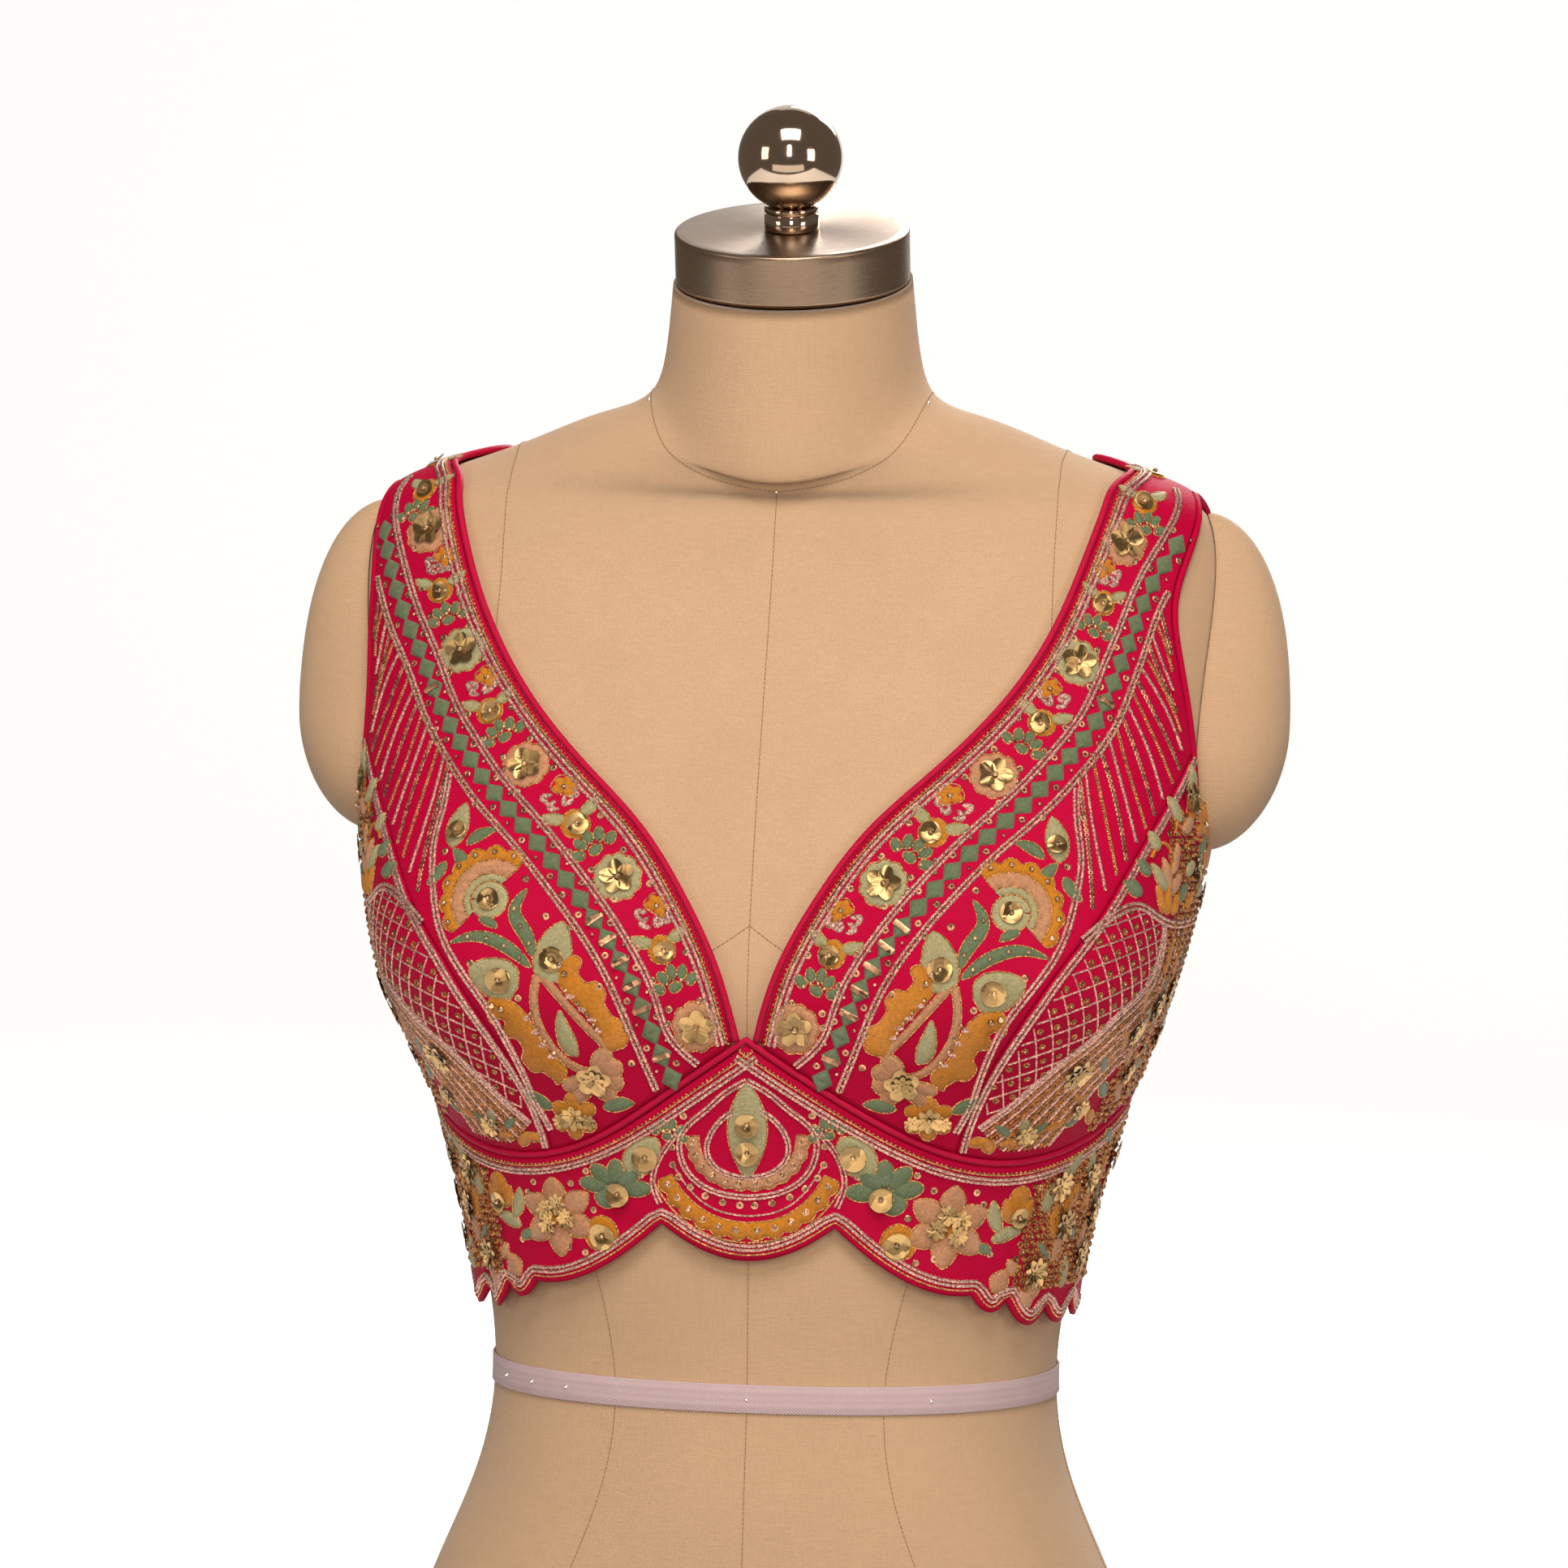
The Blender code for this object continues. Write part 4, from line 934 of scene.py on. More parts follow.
def corded_line(work, chart, radius, step=1.0, whole=False, closed=False):
    """A couched metal cord along chart places: twisted, so that its height and width beat along it."""
    if closed:
        chart = np.concatenate([chart, chart[:1]])
    line, along = resampled(chart, step)
    aside = left_of(heading(line))
    beat = (1 + CORD_BEAT * np.where(np.arange(len(line)) % 2, 1, -1))[:, None]
    off = np.zeros((len(line), len(CORD_SECTION), 3))
    off[..., :2] = aside[:, None] * (np.cos(CORD_SECTION) * radius * beat)[..., None]
    off[..., 2] = radius * (CORD_SUNK + np.sin(CORD_SECTION) * beat)
    at = np.repeat(line, len(CORD_SECTION), axis=0)
    map_mm = np.stack(np.broadcast_arrays(along[:, None], CORD_SECTION * radius), -1).reshape(-1, 2)
    work.add(at, off.reshape(-1, 3), quads(len(line), len(CORD_SECTION)), map_mm, whole)


def trim(at, turn, outline, whole=False):
    """The thin gold line that is couched round a motif."""
    corded_line(gold, on_cloth(at, turn, outline), 0.33, 0.8, whole, closed=True)


def trimmed_pad(work, at, turn, spine, wide, high, whole=False):
    """A pad of satin stitch inside its own gold line."""
    trim(at, turn, pad(work, at, turn, spine, wide, high, whole), whole)


def set_down(work, template, at, turn=0.0, size=1.0, lift=0.0, tilt=0.0, whole=False):
    """Rigid things on the cloth: one template at each place, turned, sized and tilted about its own x."""
    points, faces = template
    at = np.atleast_2d(np.asarray(at, float))
    each = (np.broadcast_to(value, len(at)) for value in (turn, size, np.radians(tilt)))
    for spot, way, grown, lean in zip(at, *each):
        x, y, z = (points * grown).T
        y, z = y * math.cos(lean) - z * math.sin(lean), y * math.sin(lean) + z * math.cos(lean)
        xy = turned_by(np.stack([x, y], -1), way)
        work.add(spot, np.column_stack([xy, z + lift]), faces, points[:, :2] * grown, whole)


RING = revolved([(0.5, 0.15), (0.75, 0.42), (1.15, 0.45), (1.6, 0.1)], 12)
BEAD = revolved([(0.6, -0.4), (1.0, 0.1), (0.85, 0.6), (0.45, 0.92), (0.03, 1.0)], 8)
GRAIN = revolved([(1.0, 0.0), (0.75, 0.75), (0.03, 1.05)], 5)
DISC = revolved([(0.09, 0.03), (0.13, 0.06), (0.5, 0.02), (0.9, 0.04), (1.0, 0.0)], 24)


# A disc is creased across its middle, so that its halves face two ways.
DISC[0][:, 2] += np.abs(DISC[0][:, 1]) * 0.24


def cut_petals(count, inner, outer, half_width):
    """A flower of cut sequin petals, each cupped and leaning up from the middle."""
    share = np.linspace(0, 1, 6)
    reach = inner + (outer - inner) * share
    wide = half_width * np.sin(np.pi * (share * 0.84 + 0.1)) ** 0.55
    sides = np.linspace(-1, 1, 5)
    x = sides[None] * wide[:, None]
    y = np.broadcast_to(reach[:, None], x.shape)
    z = 0.25 + 0.1 * (reach[:, None] - inner) + 0.45 * (np.abs(x) / half_width) ** 1.5
    points, faces = [], []
    for turn in np.linspace(0, 360, count, endpoint=False):
        faces.append(quads(6, 5)[:, ::-1] + len(points) * 30)
        points.append(np.column_stack([turned_by(np.stack([x.ravel(), y.ravel()], -1), turn), z.ravel()]))
    return np.concatenate(points), np.concatenate(faces)


CUT_FLOWER = cut_petals(5, 0.5, 5.8, 2.45)
SMALL_CUT_FLOWER = cut_petals(8, 0.4, 4.6, 1.3)


# The motifs, each worked round a place in millimetres and turned as a whole.
def arc(radius, start, stop, count=24):
    """Places on a circle, its angles in degrees from x turning left."""
    turn = np.radians(np.linspace(start, stop, count))
    return np.reshape(radius, (-1, 1)) * np.stack([np.cos(turn), np.sin(turn)], -1)


def leaf(work, at, turn, length, wide, bend=0.0, high=1.0, edged=True, blunt=0.75):
    """A leaf with a split middle, its tip along y. bend is how far its middle bows sideways."""
    share = np.linspace(0, 1, 13)
    spine = np.stack([bend * np.sin(np.pi * share), (share - 0.5) * length], -1)
    half = wide / 2 * np.sin(np.pi * share**0.85) ** blunt + 0.12
    (trimmed_pad if edged else pad)(work, at, turn, spine, half, high)


def near(at, turn, x, y):
    """The place that lies x and y millimetres from a place, after a turn."""
    return on_cloth(at, turn, [(x, y)])[0]


def sewn_disc(at, turn=0.0, size=5.2, lift=1.3, tilt=0.0, whole=False):
    """A round gold paillette that a bead holds at its middle."""
    set_down(disc, DISC, at, turn, size, lift, tilt, whole)
    set_down(bead, BEAD, at, 0, 1.1, lift + 0.5, 0, whole)


def large_flower(work, at, turn):
    """A pinked ring of satin stitch with a flower of cut sequins on it."""
    lobes = 10
    swell = np.abs(np.sin(np.linspace(0, lobes * math.pi, lobes * 6 + 1)))
    half = np.stack([swell * 0 + 3.2, 2.3 + swell], -1)
    pad(work, at, turn, arc(7.0, 0, 360, len(swell)), half)
    trim(at, turn, arc(9.5 + swell, 0, 360, len(swell)))
    set_down(disc, CUT_FLOWER, at, turn + 20, 1.28, 0.7)
    set_down(bead, BEAD, at, 0, 1.3, 1.5)


def small_flower(at, turn, size):
    """A five-lobed satin flower, wider at its top, with a bead sewn on a sequin."""
    for way in turn + np.array([-118, -60, 0, 60, 118]):
        leaf(mustard, near(at, way, 0, 3.4 * size), way, 6.8 * size, 5.6 * size, 0, 1.1, False, 0.5)
    swell = np.abs(np.sin(np.linspace(0, 5 * math.pi, 41)))
    trim(at, turn, arc(6.7 + 0.6 * swell, -38, 218, 41) * size)
    set_down(ring, RING, at, 0, size, 0.9)
    set_down(bead, BEAD, at, 0, size, 1.4)


def bud(at, turn=0.0, size=1.0, ears=pale):
    """A round mustard bud under a leaf pair, its lower half covered by a paillette."""
    share = np.linspace(0, 1, 13)
    spine = np.stack([share * 0, (share * 13.4 - 7.2) * size], -1)
    trimmed_pad(mustard, at, turn, spine, (6.3 * np.sin(np.pi * share**0.9) ** 0.5 + 0.1) * size, 1.1)
    sewn_disc(near(at, turn, -0.8, -1.4 * size), turn + 8, 4.9 * size, 1.2, 10)
    for side in (-1, 1) if ears else ():
        foot = near(at, turn, side * 8.0 * size, 5.4 * size)
        leaf(ears, foot, turn - side * 62, 11 * size, 5.4 * size, side * 0.8)


SPRIG = ((-8, -1.5, 62), (-4.6, 2.6, 30), (0.2, 4.2, 0), (4.6, 2.6, -30), (8, -1.5, -62), (0, -2.8, 84))
SPRIG_BEADS = np.array([(-6, -2.8), (-3.4, -0.6), (0, 0.6), (3.4, -0.4), (6, -2.6), (-1.8, 2.2)])
SPRIG_GRAINS = np.array([(-4.8, -1), (-1.6, -1.4), (1.7, 0.9), (5, 0)])


def sprig(at, turn=0.0, size=1.0):
    """Small round leaves off a beaded stem. The leaves' columns are x, y and lean."""
    for x, y, lean in SPRIG:
        foot = near(at, turn, x * size, y * size)
        leaf(sage, foot, turn + lean, 6.6 * size, 4.4 * size, 0, 0.9, True, 0.5)
    set_down(bead, BEAD, on_cloth(at, turn, SPRIG_BEADS * size), 0, 0.9, 0.3)
    set_down(gold, GRAIN, on_cloth(at, turn, SPRIG_GRAINS * size), 0, 0.7)


def dabs(at, turn, count, reach, spread=34):
    """A fan of short padded stitches in silver thread."""
    for lean in (np.arange(count) - (count - 1) / 2) * spread:
        leaf(zari, near(at, turn + lean, 0, reach), turn + lean, 5.4, 2.5, 0, 0.9, False, 0.5)


def rings(places, size=1.0):
    """Ring sequins, each held by a small bead."""
    set_down(ring, RING, places, 0, size, 0.15)
    set_down(bead, BEAD, places, 0, 0.42 * size, 0.45)


def rib_along(rows, count, step):
    """A motif's rib through chart places: its own places, the middle one, and the rib round it in
    millimetres, with each place's share of the way."""
    rib = resampled(smooth(rows, count), step)[0]
    origin = rib[len(rib) // 2]
    degree, askew, unit = bearings(origin)[3:]
    rise = rib[:, 1] - origin[1]
    spine = np.stack([(rib[:, 0] - origin[0]) * degree + rise * askew, rise * unit], -1)
    return rib, origin, spine, np.linspace(0, 1, len(rib))


# The lines of zari. A gold and a double silver line follow the neck edge, silver lines run on both sides of
# the chain and down the princess seam, and a double line closes the scallops.
CHAIN = [
    (9.8, 140), (10.8, 154), (12, 172), (14, 190), (17.2, 208), (21.8, 227), (27, 244), (33, 260),
    (38.5, 276), (43.5, 292), (47.8, 312), (52, 330), (57, 350), (64, 367),
]
CHAIN_INNER, CHAIN_OUTER, ARM_DEGREES, ARM_FROM = 6.6, 8.2, 1.4, 250


def above_seam(chart, clear=3.0):
    """The part of a line that stays over the underbust seam."""
    return chart[chart[:, 1] > underbust_line(chart[:, 0]) + clear]


def twin(work, chart, radius, apart):
    """Two cords side by side."""
    for distance in (-apart, apart):
        corded_line(work, beside(chart, distance), radius)


def dotted(work, chart, spacing, size, lift=0.0, template=GRAIN):
    """One thing after another along a line."""
    set_down(work, template, resampled(chart, spacing)[0], 0, size, lift)


neck_front = curve(NECK_EDGE, 300, 0.0, NECK_SHOULDER)
corded_line(gold, above_seam(beside(neck_front, -2.3)), 0.45)
dotted(gold, above_seam(beside(neck_front, -1.5)), 2.1, 0.5)
twin(zari, above_seam(beside(neck_front, -4.9)), 0.95, 1.15)
chain_line = smooth(CHAIN, 300)
inner_line = above_seam(beside(smooth([(6.5, 139), *CHAIN[1:], (80, 392)], 300), CHAIN_INNER))
twin(zari, inner_line, 0.8, 0.9)
outer_line = above_seam(beside(chain_line, -CHAIN_OUTER))
arm_angle = np.interp(outer_line[:, 1], armhole_front[:, 1], armhole_front[:, 0])
outer_line = outer_line[(outer_line[:, 0] < arm_angle - ARM_DEGREES) | (outer_line[:, 1] < ARM_FROM)]
twin(zari, outer_line, 0.75, 0.9)
dotted(gold, outer_line, 3.4, 0.6, 0.6)

# The chain: satin diamonds with a slit across the middle, some under a flat metal bar.
DIAMOND_EACH, DIAMOND_HALF, BARRED = 10.4, 4.3, (1, 3, 4, 5, 6, 7, 20)
BAR = (
    np.array([(x, y, z) for y, z in ((-1.3, 1.75), (0.2, 1.95), (1.2, 1.6)) for x in (-3.8, 3.8)]),
    quads(3, 2),
)
diamonds, _ = resampled(above_seam(chain_line, 4), DIAMOND_EACH)
taper = np.linspace(-1, 1, 13)
spine = np.stack([np.zeros(13), taper * DIAMOND_EACH * 0.5], -1)
for i, (middle, way) in enumerate(zip(diamonds, heading(diamonds))):
    turn = math.degrees(math.atan2(way[1], way[0])) - 90
    notch = 1 - 0.45 * np.exp(-((taper / 0.08) ** 2))
    pad(sage, middle, turn, spine, DIAMOND_HALF * (1 - np.abs(taper)) + 0.5, 1.5 * notch)
    if i in BARRED:
        set_down(ring, BAR, middle, turn)
    beaded, ringed = ((-4.4, 5.2), (4.4, 5.2)) if i % 2 else ((4.4, 5.2), (-4.4, 5.2))
    set_down(ring, RING, on_cloth(middle, turn, [ringed]), 0, 0.95, 0.3)
    set_down(bead, BEAD, on_cloth(middle, turn, [beaded]), 0, 0.8, 0.3)

# The neck border between its lines: large flowers, and after each a small flower, a bud and a sprig.
border, _ = resampled(neck_front, 1.0)
border_way = heading(border)
BORDER_FLOWERS = ((peach, 269, 13), (pale, 211, 14), (peach, 151, 17), (pale, 84, 18), (peach, 10, 13))
# Between two flowers, the columns are share of the way, share of the depth and, for the dabs, turn.
BORDER_DABS = ((0.22, 1.22, 150), (0.3, 1.3, 110), (0.36, 0.96, 70), (0.38, 0.5, -20))
BORDER_RINGS = (
    (0.1, 1.55), (0.13, 0.5), (0.42, 1.62), (0.58, 0.45),
    (0.64, 1.6), (0.84, 1.45), (0.86, 0.55), (0.93, 1.6),
)


def on_border(along, inward):
    """The place so many millimetres along the neck edge and in from it, and how the edge leans there."""
    i = int(along)
    way = border_way[i]
    lean = math.degrees(math.atan2(way[1], way[0])) - 90
    return stepped(border[i], way[1] * inward, -way[0] * inward), lean


for along, inward in ((317, 8), (295, 13)):
    at, lean = on_border(along, inward)
    bud(at, lean * 0.3, 0.85)
at, lean = on_border(282, 19)
sprig(at, lean * 0.5, 0.85)
for (work, along, inward), (_, next_along, next_inward) in zip(BORDER_FLOWERS, BORDER_FLOWERS[1:]):
    large_flower(work, *on_border(along, inward))
    span, deep = next_along - along, (inward + next_inward) / 2
    size = 0.82 + (deep - 13) * 0.035
    at, lean = on_border(along + 0.27 * span, deep * 0.62)
    small_flower(at, lean + 60, 0.85 * size)
    for share, off, turn in BORDER_DABS:
        at, lean = on_border(along + share * span, deep * off)
        dabs(at, lean + turn, 2, 2.8, 48)
    at, lean = on_border(along + 0.5 * span, deep * 1.02)
    bud(at, lean * 0.5, size)
    at, lean = on_border(along + 0.7 * span, deep * 1.05)
    sprig(at, lean * 0.8, size)
    for share, off in BORDER_RINGS:
        rings([on_border(along + share * span, deep * off)[0]])
work, along, inward = BORDER_FLOWERS[-1]
large_flower(work, *on_border(along, inward))

# The princess seam's own lines, and the slanting rows between it and the chain.
princess_line = smooth(PRINCESS_SEAM, 200)
PRINCESS_INNER = [
    (32, 119), (32.6, 132), (32, 144), (31.6, 157), (32, 169), (33.6, 179),
    (36, 190), (38, 202), (39.5, 218), (40.5, 237), (40, 250), (40, 264),
]
twin(zari, above_seam(beside(princess_line, -2.4)), 0.75, 0.85)
twin(zari, above_seam(smooth(PRINCESS_INNER)), 0.75, 0.85)
ROWS = 16
ROW_STARTS = [(59.6, 338), (56.4, 327), (54.9, 318), (50.4, 306), (47.2, 292), (43.6, 282), (40.5, 268)]
ROW_ENDS = [(61.6, 322), (61.3, 302), (63, 277), (58, 261), (52.5, 246), (47.5, 231), (42.5, 216)]
row_starts, row_ends = smooth(ROW_STARTS), smooth(ROW_ENDS)
for i, pick in enumerate(np.linspace(0, len(row_starts) - 1, ROWS).astype(int)):
    start, stop = row_starts[pick], row_ends[pick]
    bow = np.array([0.5, 0]) * math.sin(i * 1.7)
    row = smooth([start, (start + stop) / 2 + bow, stop])
    if i % 3 == 0:
        dotted(ring, row, 2.1, 0.74, 0.1, template=RING)
    elif i % 3 == 1:
        dotted(gold, row, 1.15, 0.62)
        corded_line(gold, beside(row, 0.7), 0.3)
    else:
        corded_line(zari, row, 0.7)
        dotted(bead, row, 6.5, 0.5, 0.5, template=BEAD)

# The cup's own spray: a leaf and a carnation at the top, two palmettes over a teardrop between mustard
# bands, and a flower at its foot.
leaf(pale, (36.5, 243), 4, 21, 9.5, 0.6, 1.1)
sewn_disc((36.6, 240.5), 10, 4.3, 1.3, -8)
leaf(sage, (35.5, 229), -38, 12, 5.0, -0.8)
leaf(sage, (39.2, 223), -150, 12, 5.2, 0.8)
leaf(sage, (32.6, 238.5), 58, 14, 5.0, 1.4)
leaf(sage, (30.2, 203.5), 116, 9, 4.0, 0.8)

CARNATION = (30.2, 213)
FAN_FROM, FAN_TO, FAN_LOBES = -43, 125, 7
lobes = np.abs(np.sin(np.linspace(0, FAN_LOBES * math.pi, FAN_LOBES * 6 + 1)))
pad(pale, CARNATION, 0, arc(4.2, 0, 360, 25), 3.6, 1.0)
trim(CARNATION, 0, arc(7.9, 0, 360, 40))
pad(pale, CARNATION, 0, arc(9.3 + 0.3 * lobes, FAN_FROM, FAN_TO, len(lobes)), 1.6, 0.9)
trimmed_pad(peach, CARNATION, 0, arc(13.9 + 0.3 * lobes, FAN_FROM, FAN_TO, len(lobes)), 3.0, 1.0)
rim = np.stack([2.2 + 0 * lobes, 1.6 + 2.4 * lobes], -1)
trimmed_pad(mustard, CARNATION, 0, arc(19.2, FAN_FROM, FAN_TO, len(lobes)), rim, 1.2)
for turn in FAN_FROM + (FAN_TO - FAN_FROM) * (np.arange(FAN_LOBES) + 0.5) / FAN_LOBES:
    set_down(bead, BEAD, on_cloth(CARNATION, 0, arc(20.0, turn, turn, 1)), 0, 1.25, 1.2)
sewn_disc(CARNATION, 30, 4.8, 1.2, 6)

# Leaves with beads on their ribs that spring from the palmettes' joint.
for rows, wide in (
    ([(24.2, 190), (25, 199), (26.6, 208), (25.2, 218)], 5.4),
    ([(24.6, 186), (27.6, 194), (31.6, 198), (36, 195)], 4.6),
):
    rib, origin, spine, share = rib_along(rows, 60, 2.0)
    trimmed_pad(sage, origin, 0, spine, wide / 2 * np.sin(np.pi * share**0.8) ** 0.7 + 0.3, 1.0)
    set_down(bead, BEAD, rib[3:-2:4], 0, 1.0, 0.9)


def palmette(at, turn, length, wide):
    """A pale leaf shape under a large paillette, its point away from the spray's middle."""
    share = np.linspace(0, 1, 15)
    spine = np.stack([share * 0, (share - 0.42) * length], -1)
    half = wide / 2 * (np.sin(np.pi * share**0.72) ** 0.62 + 0.06 * np.abs(np.sin(share * 14)))
    trimmed_pad(pale, at, turn, spine, half + 0.1, 1.2)
    sewn_disc(near(at, turn, 0, -0.04 * length), turn + 25, 5.4, 1.5, 10)


palmette((21.8, 190.5), 12, 25, 15.2)
palmette((29.4, 181.2), -72, 22, 15.2)
# The teardrop's columns are x, y and half_width.
TEARDROP = ((0, -9, 0.6), (1.2, -6, 3.2), (1.4, -2, 4.0), (0.9, 3, 3.2), (0, 8, 1.8), (-0.8, 11, 0.4))
teardrop = np.array(TEARDROP)
trimmed_pad(pale, (22, 159), -22, teardrop[:, :2], teardrop[:, 2], 1.2)
for rows in (
    [(23.9, 183), (24.8, 175), (25.4, 165), (25, 155), (23.6, 148), (21.2, 144.6), (19.6, 147)],
    [(23.5, 184), (21.8, 176), (20.2, 168), (18.6, 160), (17.6, 154), (18.4, 148)],
):
    _, origin, spine, _ = rib_along(rows, 80, 2.0)
    trimmed_pad(peach, origin, 0, spine, 1.5, 0.9)


def zigzag_band(rows, left, right, teeth, phase):
    """A wide mustard band whose wider side is cut into steps. It gives the band's rib."""
    rib, origin, spine, share = rib_along(rows, 120, 1.0)
    ends = np.sqrt(1 - np.clip(1 - 9 * np.minimum(share, 1 - share), 0, 0.98) ** 2)
    tooth = 0.76 + 0.24 * np.tanh(2.5 * np.sin(share * teeth * 2 * math.pi + phase))
    half = [left * ends, right * ends]
    wider = 0 if left > right else 1
    half[wider] = half[wider] * tooth
    trimmed_pad(mustard, origin, 0, spine, np.stack(half, -1), 1.1)
    return rib


INNER_BAND = [(21.2, 189), (19.8, 180), (17.6, 170), (16.6, 160), (17.4, 153)]
OUTER_BAND = [(31.6, 172), (28.8, 168), (27.8, 158), (27.2, 149), (25, 142.5)]
inner_rib = zigzag_band(INNER_BAND, 4.2, 8.2, 2.6, 0.3)
outer_rib = zigzag_band(OUTER_BAND, 8.6, 4.4, 3.0, 1.0)
for rib, side in ((inner_rib, 1), (outer_rib, -1)):
    for share in (0.34, 0.48, 0.62, 0.76):
        at = beside(rib, side * 3.2)[int(share * len(rib))]
        dabs(at, 90 * side, 1, 0.3)
        set_down(bead, BEAD, on_cloth(at, 0, [(side * 2.2, 2.4)]), 0, 0.9, 1.0)
    set_down(bead, BEAD, rib[[2, 6]], 0, 1.5, 1.3)

# The flower at the spray's foot: a half ring of peach petals, a cut flower, and a mustard flower below.
FOOT, LOW_FLOWER = (20.8, 141.6), (26.6, 125.6)
# The columns are turn, reach and wide.
PETALS = ((26, 9.6, 9), (62, 8.6, 9.5), (100, 7.6, 9.5), (138, 6.8, 9), (-104, 10.4, 6.5), (-134, 9.4, 7))
for turn, reach, wide in PETALS:
    leaf(peach, near(FOOT, turn, 0, reach * 0.9), turn, 11.5, wide, 0, 1.1, True, 0.45)
set_down(disc, CUT_FLOWER, FOOT, 10, 1.3, 1.2)
set_down(disc, SMALL_CUT_FLOWER, FOOT, 40, 1.0, 2.0)
leaf(sage, (31.6, 132.6), -52, 14, 6.0, 0.6)
leaf(sage, (18.6, 130.6), 82, 14, 6.0, 0.6)
for turn in (0, 62, 122, 180, 238, 300):
    leaf(mustard, near(LOW_FLOWER, turn, 0, 6.2), turn, 9, 7.2, 0, 1.1, True, 0.45)
middles = [LOW_FLOWER, (24.2, 124), (29, 124.2)]
set_down(disc, SMALL_CUT_FLOWER, middles, (0, 30, 60), (1.25, 0.8, 0.8), 1.5)
set_down(bead, BEAD, LOW_FLOWER, 0, 1.2, 2.2)
rings([
    (27, 174), (33, 187), (25.5, 222), (22.6, 207), (16.5, 179), (14.2, 170), (14.2, 162),
    (14.8, 148), (38.2, 232), (34.6, 252), (41, 252), (26.4, 232), (20.8, 216), (19.6, 203),
])

# The side cup: an arch of double zari, a lattice with a sequin in each cell, and thick flowers round it.
ARCH = [(41.2, 202.4), (43.4, 207), (47, 213), (52, 216.5), (57, 213), (63.5, 209), (75, 208), (90, 208)]
LOWER = [
    (61.5, 209), (61.5, 191), (58.5, 181), (53.5, 173), (49.5, 163),
    (46.3, 155), (43, 144), (39.6, 131), (36, 121),
]
BESIDE_FROM, BESIDE_TO, BESIDE_EACH, TOP_LEFT_OUT = 3.0, 34, 1.9, 30
arch, lower = smooth(ARCH), smooth(LOWER)
twin(zari, arch, 0.85, 0.95)
twin(zari, above_seam(lower), 0.85, 0.95)
for i, off in enumerate(np.arange(BESIDE_FROM, BESIDE_TO, BESIDE_EACH)):
    run = beside(lower, off)[TOP_LEFT_OUT:]
    run = run[np.concatenate([[True], np.diff(run[:, 1]) < 0])]
    work, radius = (zari, 0.65) if i % 3 == 1 else (antique, 0.7)
    corded_line(work, above_seam(run, 6), radius, 1.2)


def inside(chart, corners):
    """Whether each place is inside a closed line."""
    after = np.roll(corners, -1, axis=0)
    low, high = corners[:, 1], after[:, 1]
    spans = (low <= chart[:, 1:]) != (high <= chart[:, 1:])
    cross = corners[:, 0] + (chart[:, 1:] - low) / (high - low + 1e-9) * (after[:, 0] - corners[:, 0])
    return (spans & (chart[:, :1] < cross)).sum(1) % 2 == 1


CELL, LATTICE_AT, LATTICE_TURNS, LATTICE_HALF, LATTICE_REACH = 6.7, (47, 184), (17, 112), 9, 62
LATTICE_RISES, ARCH_ANGLES, LOWER_PART, BOW, BOW_LENGTH = (128, 206), (43, 61), slice(10, -14), 2.2, 26


def between(line, column, limits):
    """The places of a line where a column lies between two limits."""
    return line[(line[:, column] > limits[0]) & (line[:, column] < limits[1])]


seam_side = between(beside(princess_line, -4.5), 1, LATTICE_RISES)
field = np.concatenate([seam_side, between(arch, 0, ARCH_ANGLES), lower[LOWER_PART]])
ways = arc(1.0, *LATTICE_TURNS, 2)
far = np.linspace(-LATTICE_REACH, LATTICE_REACH, 2 * LATTICE_REACH + 1)[:, None]
for way, across in (ways, ways[::-1]):
    for step in range(-LATTICE_HALF, LATTICE_HALF + 1):
        bow = across * BOW * np.cos(far / BOW_LENGTH)
        line = on_cloth(LATTICE_AT, 0, across * step * CELL + way * far + bow)
        kept = line[inside(line, field)]
        if len(kept) > 4:
            corded_line(zari, kept, 0.42)
halves = np.arange(-LATTICE_HALF, LATTICE_HALF) + 0.5
cells = np.array([ways[0] * i * CELL + ways[1] * j * CELL for i in halves for j in halves])
cells = on_cloth(LATTICE_AT, 0, cells + (ways[0] + ways[1]) * 0.8)
cells = cells[inside(cells, field)]
set_down(antique, RING, cells, 0, 0.95, 0.1)
set_down(bead, BEAD, cells, 0, 0.5, 0.5)


def leaves(table, bend, high):
    """Leaves that share a bend and a height."""
    for work, angle, rise, turn, length, wide in table:
        leaf(work, (angle, rise), turn, length, wide, bend, high)


# The leaves' columns are work, angle, rise, turn, length and wide.
TOP_LEAVES = (
    (pale, 67, 268, -8, 15, 8), (pale, 61.5, 256, 30, 13, 7), (peach, 66.5, 250, -60, 11, 7),
    (pale, 55.5, 243, 20, 9, 7), (peach, 62.5, 236, -26, 15, 6), (peach, 60, 229, 10, 15, 6),
    (peach, 63.6, 226, -50, 14, 6), (pale, 57.6, 228, 34, 14, 6), (sage, 53, 232, 44, 9, 6),
    (sage, 50.6, 223.5, 60, 10, 7), (sage, 67.5, 222, -50, 12, 5.5), (mustard, 61, 219, 0, 13, 5),
    (mustard, 58.4, 219, 16, 12, 4.5), (mustard, 64.5, 217.5, -24, 11, 4.5), (pale, 70, 232, -70, 12, 7),
    (sage, 76, 240, -40, 13, 6), (pale, 80, 222, -80, 14, 7), (mustard, 72, 218, -60, 13, 6),
    (peach, 84, 236, -20, 13, 7),
)
leaves(TOP_LEAVES, 0.5, 2.0)
for angle, rise, size in ((70, 256, 1.15), (75.5, 250, 1.2), (81, 229, 1.3), (88, 246, 1.2)):
    small_flower((angle, rise), 0, size)
